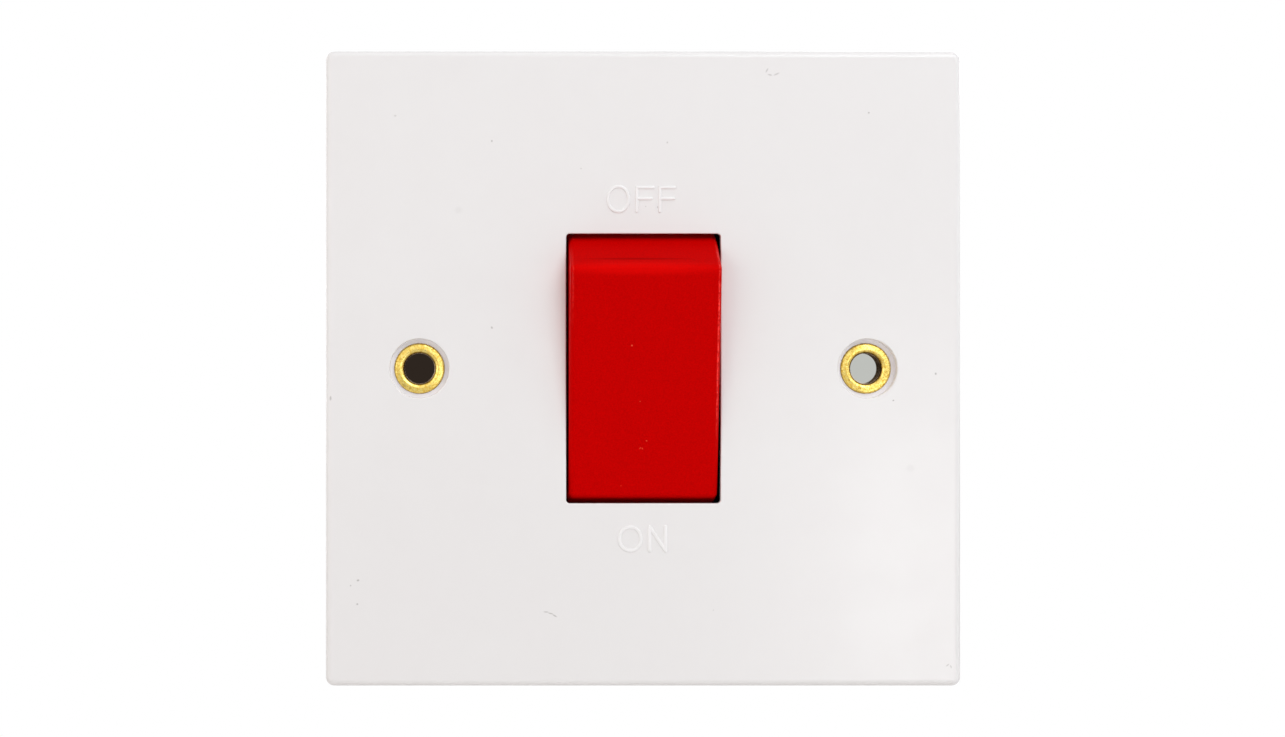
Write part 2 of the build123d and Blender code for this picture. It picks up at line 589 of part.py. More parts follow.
# Frame moulding: well and bearings of the rocker, ears, and the cap over the contact base
well_outer_x = WELL_WIDTH + 2 * WELL_WALL
well_outer_z = WELL_HEIGHT + 2 * WELL_WALL
with BuildPart() as rocker_frame:
    with BuildSketch(facing_front(FRAME_FRONT_Y)):
        RectangleRounded(well_outer_x, well_outer_z, WELL_OUTER_CORNER_R)
    extrude(amount=-(FRAME_BACK_Y - FRAME_FRONT_Y))
    with BuildSketch(facing_front(EAR_FRONT_Y)):
        RectangleRounded(EAR_WIDTH, EAR_HEIGHT, POST_R)
    extrude(amount=-(EAR_BACK_Y - EAR_FRONT_Y))
    with BuildSketch(facing_front(FRAME_BACK_Y - CAP_THICKNESS)):
        RectangleRounded(BASE_WIDTH, BASE_HEIGHT, BASE_CORNER_R)
    extrude(amount=-CAP_THICKNESS)

    # Gussets from the well to the cap, beside the screws of the base
    with BuildSketch(facing_front(EAR_BACK_Y)):
        Rectangle(2 * BASE_SCREW_X + 2 * GUSSET_OVERHANG, GUSSET_WIDTH)
    extrude(amount=-(FRAME_BACK_Y - EAR_BACK_Y))

    # Pads that press on the terminal blocks
    with BuildSketch(facing_front(FRAME_BACK_Y)):
        with GridLocations(2 * BLOCK_X, 2 * BLOCK_Z, 2, 2):
            Rectangle(BLOCK_WIDTH - 2 * PAD_INSET, BLOCK_LENGTH - 2 * PAD_INSET)
    extrude(amount=-(BLOCK_FRONT_Y - FRAME_BACK_Y))

    # The well, and the slots in its floor for the plungers
    with BuildSketch(facing_front(FRAME_FRONT_Y)):
        RectangleRounded(WELL_WIDTH, WELL_HEIGHT, WELL_CORNER_R)
    extrude(amount=-(WELL_FLOOR_Y - FRAME_FRONT_Y), mode=Mode.SUBTRACT)
    with BuildSketch(facing_front(WELL_FLOOR_Y)):
        with Locations(POLES):
            RectangleRounded(2 * TUBE_R + PLUNGER_SLOT_GAP, PLUNGER_SLOT_LENGTH, WELL_CORNER_R)
    extrude(amount=-(FRAME_BACK_Y - WELL_FLOOR_Y), mode=Mode.SUBTRACT)

    # Bearing holes, and the grooves that lead the trunnions in from the front
    with BuildSketch(swung(PIVOT_Y, 0)):
        Circle(TRUNNION_R + BEARING_CLEARANCE)
    extrude(amount=well_outer_x / 2, both=True, mode=Mode.SUBTRACT)
    with BuildSketch(swung(PIVOT_Y, 0)):
        with Locations((0, (PIVOT_Y - FRAME_FRONT_Y) / 2)):
            Rectangle(LEAD_IN_WIDTH, PIVOT_Y - FRAME_FRONT_Y)
    extrude(amount=WELL_WIDTH / 2 + LEAD_IN_DEPTH, both=True, mode=Mode.SUBTRACT)

    # Screw holes in the ears and in the gussets
    with BuildSketch(facing_front(EAR_FRONT_Y)):
        with Locations(EAR_PLACES):
            Circle(TAPPING_CLEAR_R)
    extrude(amount=-(EAR_BACK_Y - EAR_FRONT_Y), mode=Mode.SUBTRACT)
    with BuildSketch(facing_front(FRAME_BACK_Y)):
        with Locations(BASE_PLACES):
            Circle(TAPPING_R)
    extrude(amount=FRAME_BACK_Y - BASE_SCREW_TIP_Y + TAPPING_SPARE, mode=Mode.SUBTRACT)
save(rocker_frame.part, "rocker_frame")

# Base moulding: contact chambers, terminal pockets, wire entries and screw wells
pocket_width = BLOCK_WIDTH + 2 * POCKET_CLEARANCE
chamber_width = CHAMBER_OUTER_X - BARRIER_HALF
chamber_x = (CHAMBER_OUTER_X + BARRIER_HALF) / 2
chamber_z = (CHAMBER_TOP + CHAMBER_FOOT) / 2
with BuildPart() as contact_base:
    with BuildSketch(facing_front(FRAME_BACK_Y)):
        RectangleRounded(BASE_WIDTH, BASE_HEIGHT, BASE_CORNER_R)
    extrude(amount=-(BASE_BACK_Y - FRAME_BACK_Y))
    fillet(contact_base.faces().sort_by(Axis.Y)[-1].edges(), BASE_EDGE_R)

    # Barrier rib between the poles
    with BuildSketch(facing_front(BASE_BACK_Y - BARRIER_RIB_SUNK)):
        Rectangle(BARRIER_RIB_WIDTH, BASE_HEIGHT - 2 * BARRIER_RIB_INSET)
    extrude(amount=-BARRIER_RIB_DEPTH)

    # Chambers of the contact arms, and the ways of the straps to the pockets
    strap_way = BLOCK_INNER_Z - CHAMBER_TOP
    foot_way = BLOCK_INNER_Z + CHAMBER_FOOT
    with BuildSketch(facing_front(FRAME_BACK_Y)):
        with Locations((-chamber_x, chamber_z), (chamber_x, chamber_z)):
            Rectangle(chamber_width, CHAMBER_TOP - CHAMBER_FOOT)
        with Locations((-POLE_X, CHAMBER_TOP + strap_way / 2), (POLE_X, CHAMBER_TOP + strap_way / 2)):
            Rectangle(STRAP_WIDTH + 2 * STRAP_CLEARANCE, strap_way)
        with Locations((-POLE_X, CHAMBER_FOOT - foot_way / 2), (POLE_X, CHAMBER_FOOT - foot_way / 2)):
            Rectangle(STRAP_WIDTH + 2 * STRAP_CLEARANCE, foot_way)
    extrude(amount=-(CHAMBER_FLOOR_Y - FRAME_BACK_Y), mode=Mode.SUBTRACT)

    # Pockets of the terminal blocks
    with BuildSketch(facing_front(FRAME_BACK_Y)):
        with GridLocations(2 * BLOCK_X, 2 * BLOCK_Z, 2, 2):
            Rectangle(pocket_width, BLOCK_LENGTH)
    extrude(amount=-(BLOCK_BACK_Y - FRAME_BACK_Y), mode=Mode.SUBTRACT)
    with BuildSketch(facing_front(BASE_BACK_Y)):
        with GridLocations(2 * BLOCK_X, 2 * BLOCK_Z, 2, 2):
            Circle(SCREW_WELL_R)
    extrude(amount=BASE_BACK_Y - BLOCK_BACK_Y, mode=Mode.SUBTRACT)
    with BuildSketch(Plane.XY.offset(-BASE_HEIGHT / 2)):
        with Locations((-BLOCK_X, WIRE_BORE_Y), (BLOCK_X, WIRE_BORE_Y)):
            Circle(WIRE_ENTRY_R)
    extrude(amount=BASE_HEIGHT / 2 - BLOCK_Z, mode=Mode.SUBTRACT)
    with BuildSketch(Plane.XY.offset(BASE_HEIGHT / 2)):
        with Locations((-BLOCK_X, WIRE_BORE_Y), (BLOCK_X, WIRE_BORE_Y)):
            Circle(WIRE_ENTRY_R)
    extrude(amount=-(BASE_HEIGHT / 2 - BLOCK_Z), mode=Mode.SUBTRACT)

    # Counterbored holes for the two screws into the frame
    with BuildSketch(facing_front(BASE_BACK_Y)):
        with Locations(BASE_PLACES):
            Circle(PAN_HEAD_R + PAN_HEAD_GAP)
    extrude(amount=BASE_BACK_Y - BASE_SCREW_SEAT_Y, mode=Mode.SUBTRACT)
    with BuildSketch(facing_front(BASE_SCREW_SEAT_Y)):
        with Locations(BASE_PLACES):
            Circle(TAPPING_CLEAR_R)
    extrude(amount=BASE_SCREW_SEAT_Y - FRAME_BACK_Y, mode=Mode.SUBTRACT)
save(contact_base.part, "contact_base")


def pan_screws(places, seat_y, tip_y):
    """Self-tapping pan-head screws along Y at the (x, z) places, heads behind seat_y and tips at tip_y."""
    with BuildPart() as screws:
        with BuildSketch(facing_front(seat_y)):
            with Locations(places):
                Circle(TAPPING_R)
        extrude(amount=seat_y - tip_y)
        with BuildSketch(facing_front(seat_y)):
            with Locations(places):
                Circle(PAN_HEAD_R)
        extrude(amount=-PAN_HEAD_HEIGHT)
        heads = screws.faces().filter_by(Axis.Y).group_by(Axis.Y)[-1].edges()
        fillet(heads, PAN_HEAD_HEIGHT / 2)
    return screws.part


# Self-tapping screws that hold the mechanism together
save(pan_screws(EAR_PLACES, EAR_BACK_Y, EAR_SCREW_TIP_Y), "frame_screws")
save(pan_screws(BASE_PLACES, BASE_SCREW_SEAT_Y, BASE_SCREW_TIP_Y), "base_screws")

# Brass eyelets, flanged in front and rolled over behind
top_y = POCKET_FLOOR_Y - EYELET_FLANGE
throat_y = top_y + EYELET_THROAT_R
brow_y = top_y + EYELET_FALL
for name, side in SIDES.items():
    x = side * FIX_X
    bore_x = x + EYELET_BORE_R
    mouth_x = bore_x + EYELET_THROAT_R
    barrel_x = x + EYELET_BARREL_R
    flange_x = x + EYELET_FLANGE_R
    rim_x = flange_x - EYELET_RIM_R
    rim_y = brow_y + EYELET_RIM_R
    with BuildPart() as eyelet:
        with BuildSketch(Plane.XY):
            with BuildLine():
                Line((bore_x, EYELET_BACK_Y), (bore_x, throat_y))
                RadiusArc((bore_x, throat_y), (mouth_x, top_y), -EYELET_THROAT_R)
                Line((mouth_x, top_y), (rim_x, brow_y))
                RadiusArc((rim_x, brow_y), (flange_x, rim_y), -EYELET_RIM_R)
                Line((flange_x, rim_y), (flange_x, POCKET_FLOOR_Y))
                Line((flange_x, POCKET_FLOOR_Y), (barrel_x, POCKET_FLOOR_Y))
                Line((barrel_x, POCKET_FLOOR_Y), (barrel_x, EYELET_BACK_Y))
                Line((barrel_x, EYELET_BACK_Y), (flange_x, EYELET_BACK_Y))
                ThreePointArc(
                    (flange_x, EYELET_BACK_Y),
                    (barrel_x + EYELET_LIP_CREST, EYELET_BACK_Y + EYELET_LIP),
                    (bore_x, EYELET_BACK_Y),
                )
            make_face()
        revolve(axis=Axis((x, 0, 0), (0, 1, 0)))
    save(eyelet.part, f"{name}_eyelet")

# Earth strap under the left eyelet, and the earth terminal at its end
with BuildPart() as earth_strap:
    with BuildSketch(facing_front(EARTH_STRAP_Y)):
        with Locations((-FIX_X, 0)):
            Circle(BOSS_R - EARTH_RING_INSET)
        with Locations((-FIX_X, EARTH_FOOT_Z / 2)):
            Rectangle(EARTH_STRAP_WIDTH, -EARTH_FOOT_Z)
        with Locations((-FIX_X, 0)):
            Circle(EYELET_BARREL_R, mode=Mode.SUBTRACT)
    extrude(amount=-EARTH_STRAP_THICKNESS)
save(earth_strap.part, "earth_strap")

with BuildPart() as earth_terminal:
    with BuildSketch(facing_front(EYELET_BACK_Y)):
        with Locations((-FIX_X, EARTH_BLOCK_Z)):
            RectangleRounded(EARTH_BLOCK_WIDTH, EARTH_BLOCK_LENGTH, EARTH_BLOCK_CORNER_R)
    extrude(amount=-EARTH_BLOCK_DEPTH)
    with BuildSketch(Plane.XY.offset(EARTH_FOOT_Z)):
        with Locations((-FIX_X, EARTH_BORE_Y)):
            Circle(EARTH_BORE_R)
    extrude(amount=EARTH_BORE_DEPTH, mode=Mode.SUBTRACT)
    with BuildSketch(facing_front(EARTH_BACK_Y)):
        with Locations((-FIX_X, EARTH_BLOCK_Z)):
            Circle(SCREW_R)
    extrude(amount=EARTH_BACK_Y - EARTH_BORE_Y, mode=Mode.SUBTRACT)
save(earth_terminal.part, "earth_terminal")

save(clamp_screw(-FIX_X, EARTH_BLOCK_Z, EARTH_SCREW_TIP_Y), "earth_screw")
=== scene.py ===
"""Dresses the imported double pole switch: finishes, raised words, wear, studio and camera."""

import json
import logging
import math
from abc import ABC, abstractmethod
from dataclasses import dataclass, field
from enum import Enum

import bmesh
import bpy
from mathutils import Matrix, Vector


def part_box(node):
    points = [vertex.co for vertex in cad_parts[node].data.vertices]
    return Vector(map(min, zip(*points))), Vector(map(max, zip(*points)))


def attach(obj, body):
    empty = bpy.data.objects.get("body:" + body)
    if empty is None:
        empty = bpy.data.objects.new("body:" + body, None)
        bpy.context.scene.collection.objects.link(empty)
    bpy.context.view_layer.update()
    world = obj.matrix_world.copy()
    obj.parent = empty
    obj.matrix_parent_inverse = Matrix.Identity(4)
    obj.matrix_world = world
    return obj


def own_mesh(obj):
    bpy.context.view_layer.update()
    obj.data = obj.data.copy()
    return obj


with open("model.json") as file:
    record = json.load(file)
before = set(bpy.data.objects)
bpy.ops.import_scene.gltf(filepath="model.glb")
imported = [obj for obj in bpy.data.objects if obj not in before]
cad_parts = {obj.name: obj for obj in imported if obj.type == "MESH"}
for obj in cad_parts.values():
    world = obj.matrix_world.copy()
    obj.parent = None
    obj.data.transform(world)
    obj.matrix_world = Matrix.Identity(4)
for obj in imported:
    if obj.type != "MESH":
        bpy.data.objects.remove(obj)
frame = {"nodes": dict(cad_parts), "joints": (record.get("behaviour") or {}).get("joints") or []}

log = logging.getLogger("switch")

MM = 0.001
WHITE = (1.0, 1.0, 1.0, 1.0)

# A noise pattern seldom leaves this range, so its contrast is stretched from here.
NOISE_SPAN = (0.3, 0.7)
# Where a mark begins to fade and where it has gone, as shares of half its size.
MARK_FADE = (0.35, 1.25)
# The sockets by which a Mix node takes two colours, and what makes it mix colours.
UNDER, OVER = 6, 7
COLOURS: dict[str, object] = {"out": 2, "data_type": "RGBA"}

Socket = bpy.types.NodeSocket
Tree = bpy.types.NodeTree
Object = bpy.types.Object
Material = bpy.types.Material


def linear(code: str) -> tuple[float, float, float, float]:
    """Turns an sRGB hex code into a linear colour.

    Args:
        code: the colour, such as "#ECE9E7".

    Returns:
        The linear red, green and blue, and an alpha of 1.
    """
    channels = [int(code[i : i + 2], 16) / 255 for i in (1, 3, 5)]
    r, g, b = (c / 12.92 if c <= 0.04045 else ((c + 0.055) / 1.055) ** 2.4 for c in channels)
    return r, g, b, 1.0


def per_mm(size: float) -> float:
    """Gives the texture scale at which a pattern repeats about every size millimetres."""
    return 1.0 / (size * MM)


def ramp(start: float, end: float, low: float = 0.0, high: float = 1.0) -> dict[str, float]:
    """Gives the ends of a ramp that goes from low at start to high at end."""
    return {"From Min": start, "From Max": end, "To Min": low, "To Max": high}


@dataclass(frozen=True)
class Art:
    """A node tree that is being drawn.

    Attributes:
        tree: the node tree.
        place: the point on the surface, in metres, or the direction of a surround.
    """

    tree: Tree
    place: Socket

    @staticmethod
    def begin(tree: Tree, place: str = "Object") -> "Art":
        """Empties a node tree and begins to draw in it.

        Args:
            tree: the node tree.
            place: the texture coordinate to draw by.

        Returns:
            The drawing.
        """
        tree.nodes.clear()
        return Art(tree, tree.nodes.new("ShaderNodeTexCoord").outputs[place])

    def add(
        self, kind: str, inputs: dict | None = None, out: str | int = 0, **settings: object
    ) -> Socket | None:
        """Adds one node with its settings and links.

        Args:
            kind: the shader node's type, such as "TexNoise".
            inputs: for each input's name or number, a constant or the socket to link to it.
            out: the name or number of the output that is wanted.
            settings: attributes of the node itself.

        Returns:
            The socket of that output, or None for a node that ends the tree.
        """
        node = self.tree.nodes.new(f"ShaderNode{kind}")
        for name, value in settings.items():
            setattr(node, name, value)
        for key, value in (inputs or {}).items():
            if isinstance(value, Socket):
                self.tree.links.new(value, node.inputs[key])
            else:
                node.inputs[key].default_value = value
        return node.outputs[out] if node.outputs else None


@dataclass
class Pattern:
    """What a finish paints on its surface: sockets for colour, roughness, height and the rest."""

    colour: Socket
    roughness: Socket
    height: Socket
    others: dict[str, Socket] = field(default_factory=dict)


@dataclass(frozen=True)
class Finish(ABC):
    """A finish of a real material, drawn with nodes in the row's own space.

    Attributes:
        name: the material's name.
        colour: the main colour, in sRGB hex.
        roughness: the roughness in the middle of its range.
        relief: the height of the bump pattern, in millimetres.
    """

    name: str
    colour: str
    roughness: float
    relief: float

    @abstractmethod
    def pattern(self, art: Art) -> Pattern:
        """Draws the finish's pattern.

        Args:
            art: the drawing.

        Returns:
            The sockets of the pattern.
        """

    def settings(self) -> dict[str, object]:
        """Gives the constants of the shader that differ from its defaults."""
        return {}

    def varied(self, art: Art, source: Socket, spread: float) -> Socket:
        """Spreads a 0 to 1 pattern round the finish's roughness.

        Args:
            art: the drawing.
            source: the pattern.
            spread: how far the roughness goes each way.

        Returns:
            The socket of the roughness.
        """
        low, high = self.roughness - spread, self.roughness + spread
        return art.add("MapRange", {"Value": source, **ramp(*NOISE_SPAN, low, high)})

    def tinted(self, art: Art, source: Socket, second: str) -> Socket:
        """Takes the finish's colour over to a second one where a pattern is strong.

        Args:
            art: the drawing.
            source: the pattern, from 0 to 1.
            second: the second colour, in sRGB hex.

        Returns:
            The socket of the colour.
        """
        return art.add(
            "Mix", {"Factor": source, UNDER: linear(self.colour), OVER: linear(second)}, **COLOURS
        )

    def material(self) -> Material:
        """Builds the material.

        Returns:
            The new material.
        """
        made = bpy.data.materials.new(self.name)
        made.use_nodes = True
        art = Art.begin(made.node_tree)
        drawn = self.pattern(art)
        bump = art.add(
            "Bump", {"Height": drawn.height, "Strength": 1.0, "Distance": self.relief * MM}
        )
        shader = art.add(
            "BsdfPrincipled",
            {
                "Base Color": drawn.colour,
                "Roughness": drawn.roughness,
                "Normal": bump,
                **drawn.others,
                **self.settings(),
            },
        )
        art.add("OutputMaterial", {"Surface": shader})
        return made


@dataclass(frozen=True)
class Mark:
    """One small mark on a moulding, seen from the front.

    Attributes:
        x: how far right of the middle it is, in millimetres.
        z: how far up it is, in millimetres.
        length: its length, in millimetres.
        width: its width, in millimetres.
        turn: how far its length is turned up from +X, in degrees.
        strength: how much of its set's colour it takes, from 0 to 1.
    """

    x: float
    z: float
    length: float
    width: float
    turn: float = 0.0
    strength: float = 0.5

    def mask(self, art: Art) -> Socket:
        """Draws the mark as a soft oval that is strong in its middle.

        Args:
            art: the drawing.

        Returns:
            The socket of the mask, from 0 to the mark's strength.
        """
        local = art.add(
            "Mapping",
            {
                "Vector": art.place,
                "Location": (self.x * MM, 0.0, self.z * MM),
                "Rotation": (0.0, -math.radians(self.turn), 0.0),
                "Scale": (self.length * MM / 2, 10.0, self.width * MM / 2),
            },
            vector_type="TEXTURE",
        )
        away = art.add("VectorMath", {0: local}, out="Value", operation="LENGTH")
        return art.add(
            "MapRange",
            {"Value": away, **ramp(*MARK_FADE, self.strength, 0.0)},
            interpolation_type="SMOOTHSTEP",
        )


def merged(art: Art, masks: list[Socket]) -> Socket:
    """Takes the strongest of several masks at each point.

    Args:
        art: the drawing.
        masks: the masks.

    Returns:
        The socket of the result.
    """
    result = masks[0]
    for mask in masks[1:]:
        result = art.add("Math", {0: result, 1: mask}, operation="MAXIMUM")
    return result


@dataclass(frozen=True)
class TintedMarks:
    """Marks that share one colour: dust and scratches on the plate; on the rocker, nicks, a painted
    highlight and painted shade.

    Attributes:
        colour: their colour, in sRGB hex.
        marks: the marks.
    """

    colour: str
    marks: tuple[Mark, ...]

    def over(self, art: Art, tint: Socket) -> tuple[Socket, Socket]:
        """Lays the marks over a colour.

        Args:
            art: the drawing.
            tint: the colour below them.

        Returns:
            The sockets of the new colour and of the marks' mask.
        """
        mask = merged(art, [mark.mask(art) for mark in self.marks])
        laid = art.add("Mix", {"Factor": mask, UNDER: tint, OVER: linear(self.colour)}, **COLOURS)
        return laid, mask


# What lies on the plate or was moulded into it.
PLATE_DUST = TintedMarks(
    "#6F655E",
    (
        # a curled fibre near the top, right of the middle
        Mark(16.6, 40.1, 0.75, 0.24, 62, 0.30),
        Mark(17.0, 39.5, 0.7, 0.24, -14, 0.32),
        Mark(17.9, 39.6, 0.95, 0.24, 24, 0.30),
        # a short scratch, low on the left
        Mark(-13.1, -32.75, 0.8, 0.2, -4, 0.34),
        Mark(-12.5, -32.95, 0.8, 0.2, -12, 0.38),
        Mark(-11.95, -33.25, 0.8, 0.2, -30, 0.42),
        # a curved nick by the right edge, near the foot
        Mark(40.9, -39.9, 0.6, 0.2, 38, 0.32),
        Mark(41.35, -40.1, 0.5, 0.2, -70, 0.30),
        # specks of dust moulded in
        Mark(30.3, 34.4, 0.3, 0.26, 0, 0.42),
        Mark(-39.4, -29.2, 0.24, 0.24, 0, 0.36),
        Mark(9.4, -32.5, 0.2, 0.2, 0, 0.2),
        Mark(-24.9, 21.3, 1.2, 1.0, 0, 0.05),
        Mark(35.9, -13.4, 1.3, 1.1, 0, 0.05),
        Mark(-20.4, 30.6, 0.26, 0.34, 0, 0.42),
        Mark(3.2, 30.4, 0.24, 0.3, 0, 0.32),
        Mark(-20.4, 5.5, 0.3, 0.4, 30, 0.40),
        Mark(33.6, -4.3, 0.3, 0.22, 20, 0.50),
        Mark(39.3, -0.7, 0.3, 0.36, 0, 0.48),
        Mark(-38.4, -28.5, 0.42, 0.3, 15, 0.45),
        Mark(-38.5, -31.7, 0.3, 0.3, 0, 0.42),
        Mark(-42.1, -4.0, 0.3, 0.7, 0, 0.40),
        Mark(-33.4, 34.0, 0.4, 0.3, 0, 0.22),
        Mark(1.94, 21.7, 0.22, 0.36, 0, 0.42),
        Mark(0.3, 21.8, 0.2, 0.24, 0, 0.22),
        Mark(-8.4, 26.9, 0.3, 0.22, 0, 0.2),
    ),
)
# Round the eyelets, where the sunk faces are painted whiter: painted light on each pocket's floor.
EYELET_POCKET_LIGHT = (
    Mark(-30.15, 0.0, 24.0, 24.0, 0, 1.0),
    Mark(30.15, 0.0, 24.0, 24.0, 0, 1.0),
)
# Small pale nicks down the middle of the rocker.
ROCKER_NICKS = TintedMarks(
    "#FF6A4A",
    (
        Mark(-1.81, 3.06, 0.26, 0.26, 0, 0.6),
        Mark(-0.6, -4.4, 0.2, 0.2, 0, 0.35),
        Mark(0.35, -9.7, 0.26, 0.2, -35, 0.4),
        Mark(-0.5, -10.7, 0.34, 0.16, 55, 0.38),
        Mark(-0.2, -10.75, 0.34, 0.16, -55, 0.38),
        Mark(-3.0, -15.8, 0.18, 0.18, 0, 0.3),
    ),
)
# A painted highlight: a paler band on the face just under the fold, where the rocker's head leans
# back.
ROCKER_CREST_HIGHLIGHT = TintedMarks("#F60A06", (Mark(-1.0, 13.3, 25.0, 2.0, 0, 0.4),))
# Painted shade along the fold itself.
ROCKER_FOLD_SHADE = TintedMarks("#A60000", (Mark(-1.0, 14.6, 15.0, 0.3, 0, 0.9),))
# Painted shade along the rocker's foot, where it goes into the gap.
ROCKER_FOOT_SHADE = TintedMarks("#140000", (Mark(0.0, -18.1, 60.0, 1.2, 0, 0.4),))


@dataclass(frozen=True)
class MouldedUrea(Finish):
    """Urea-formaldehyde, compression moulded against polished steel.

    It is a hard, clean, glossy white: the eye sees soft wide reflections with a
    faint waviness, a slightly cloudy colour, a few specks of dust, and painted light on sunk faces.

    Attributes:
        shade: the colour of the cloudier places, in sRGB hex.
        cloud: the size of the cloudy places, in millimetres.
        wave: the size of the surface's waviness, in millimetres.
        tinted_marks: the marks that it carries.
        pocket_light: the whiter colour painted as light on each pocket's floor, in sRGB hex.
        lit_pockets: where its face is sunk and painted whiter, as painted light.
        pocket_light_y: the depths between which the painted light comes in, in millimetres.
    """

    shade: str = "#EAE7E6"
    cloud: float = 9.0
    wave: float = 1.4
    tinted_marks: tuple[TintedMarks, ...] = ()
    pocket_light: str = "#FAF7FA"
    lit_pockets: tuple[Mark, ...] = ()
    pocket_light_y: tuple[float, float] = (-7.85, -7.65)

    def pattern(self, art: Art) -> Pattern:
        """Draws clouds, waviness, the tinted marks and the painted light on each pocket's floor.

        Args:
            art: the drawing.

        Returns:
            The sockets of the pattern.
        """
        clouds = art.add(
            "TexNoise",
            {"Vector": art.place, "Scale": per_mm(self.cloud), "Detail": 3.0, "Roughness": 0.55},
        )
        tint = self.tinted(art, clouds, self.shade)
        waves = art.add(
            "TexNoise",
            {"Vector": art.place, "Scale": per_mm(self.wave), "Detail": 2.0, "Roughness": 0.5},
        )
        # Painted light: each sunk pocket's floor is made whiter.
        if self.lit_pockets:
            depth = art.add("SeparateXYZ", {"Vector": art.place}, out="Y")
            sunk = art.add("MapRange", {"Value": depth, **ramp(*(y * MM for y in self.pocket_light_y))})
            near = merged(art, [pocket.mask(art) for pocket in self.lit_pockets])
            lit_floors = art.add("Math", {0: near, 1: sunk}, operation="MULTIPLY")
            tint = art.add(
                "Mix", {"Factor": lit_floors, UNDER: tint, OVER: linear(self.pocket_light)}, **COLOURS
            )
        height = waves
        for overlay in self.tinted_marks:
            tint, mask = overlay.over(art, tint)
            height = art.add("Math", {0: height, 1: mask}, operation="ADD")
        return Pattern(tint, self.varied(art, clouds, spread=0.04), height)

    def settings(self) -> dict[str, object]:
        """Gives the constants of the shader that differ from its defaults."""
        return {"IOR": 1.55}


@dataclass(frozen=True)
class EtchedPlastic(Finish):
    """Coloured thermoplastic, injection moulded against a spark-eroded tool.

    It is a deep colour with a fine dry grain, so that a highlight on an edge
    breaks up into sparks, and small bright nicks show where it has been touched.

    Attributes:
        shade: the colour in the hollows of the grain, in sRGB hex.
        grain: the size of the grain, in millimetres.
        sheen: how strongly the surface reflects.
        ior: the index of refraction.
        tinted_marks: the marks that it carries; on the rocker, nicks, a painted highlight and
            painted shade.
    """

    shade: str = "#B80000"
    grain: float = 0.3
    sheen: float = 0.5
    ior: float = 1.58
    tinted_marks: tuple[TintedMarks, ...] = ()

    def pattern(self, art: Art) -> Pattern:
        """Draws the grain and the tinted marks, among them any painted highlight and shade.

        Args:
            art: the drawing.

        Returns:
            The sockets of the pattern.
        """
        grain = art.add(
            "TexNoise",
            {"Vector": art.place, "Scale": per_mm(self.grain), "Detail": 2.0, "Roughness": 0.6},
        )
        hollows = art.add("MapRange", {"Value": grain, **ramp(*NOISE_SPAN, 1.0, 0.0)})
        tint = self.tinted(art, hollows, self.shade)
        for overlay in self.tinted_marks:
            tint, _ = overlay.over(art, tint)
        return Pattern(tint, self.varied(art, grain, spread=0.08), grain)

    def settings(self) -> dict[str, object]:
        """Gives the constants of the shader that differ from its defaults."""
        return {"IOR": self.ior, "Specular IOR Level": self.sheen}


@dataclass(frozen=True)
class GlintEdgedPlastic(EtchedPlastic):
    """Etched plastic with a clear coat and a painted glint along its long side edges.

    The tops of the grain along the two side edges carry a painted glint, a bright red in a thin
    broken line.

    Attributes:
        glint_red: the painted glint's colour, in sRGB hex.
        turned: how far an edge has turned sideways where the glint is painted, as its normal's X.
        off_turned: how far off that value the glint begins to fade, and where it ends.
        tops: the heights in the noise between which the tops of the grain glint.
        spot: how many times wider than the grain a glinting spot is.
        coat: the roughness of the clear coat on the glinting spots.
        glint_rubs: the places where the glint is painted and the coat laid, with how strongly.
    """

    glint_red: str = "#FF1C0E"
    turned: float = 0.5
    off_turned: tuple[float, float] = (0.08, 0.24)
    tops: tuple[float, float] = (0.40, 0.56)
    spot: float = 2.2
    coat: float = 0.22
    glint_rubs: tuple[Mark, ...] = (
        Mark(10.3, 4.0, 8.0, 27.0, 0, 1.0),
        Mark(-10.3, 10.8, 8.0, 10.0, 0, 0.3),
    )

    def pattern(self, art: Art) -> Pattern:
        """Draws the grain, the tinted marks, and the painted glint with its coat on the edges.

        Args:
            art: the drawing.

        Returns:
            The sockets of the pattern.
        """
        drawn = super().pattern(art)
        facing = art.add("TexCoord", out="Normal")
        sideways = art.add("SeparateXYZ", {"Vector": facing}, out="X")
        side = art.add("Math", {0: sideways}, operation="ABSOLUTE")
        off = art.add("Math", {0: side, 1: self.turned}, operation="SUBTRACT")
        apart = art.add("Math", {0: off}, operation="ABSOLUTE")
        line = art.add("MapRange", {"Value": apart, **ramp(*self.off_turned, 1.0, 0.0)})
        rubbed_and_glinting = art.add(
            "Math",
            {0: line, 1: merged(art, [glint_rub.mask(art) for glint_rub in self.glint_rubs])},
            operation="MULTIPLY",
        )
        spots = art.add(
            "TexNoise",
            {"Vector": art.place, "Scale": per_mm(self.grain * self.spot), "Detail": 2.0},
        )
        tops = art.add("MapRange", {"Value": spots, **ramp(*self.tops)})
        polish_and_glint = art.add("Math", {0: rubbed_and_glinting, 1: tops}, operation="MULTIPLY")
        # Painted glint: a bright red mixed into the colour where the edge glints, under the coat.
        drawn.colour = art.add(
            "Mix", {"Factor": polish_and_glint, UNDER: drawn.colour, OVER: linear(self.glint_red)}, **COLOURS
        )
        drawn.others["Coat Weight"] = polish_and_glint
        return drawn

    def settings(self) -> dict[str, object]:
        """Gives the constants of the shader that differ from its defaults."""
        return {**super().settings(), "Coat Roughness": self.coat}


class Run(Enum):
    """The way in which a metal's working lines run."""

    ACROSS = "X"
    DEEP = "Y"
    UP = "Z"


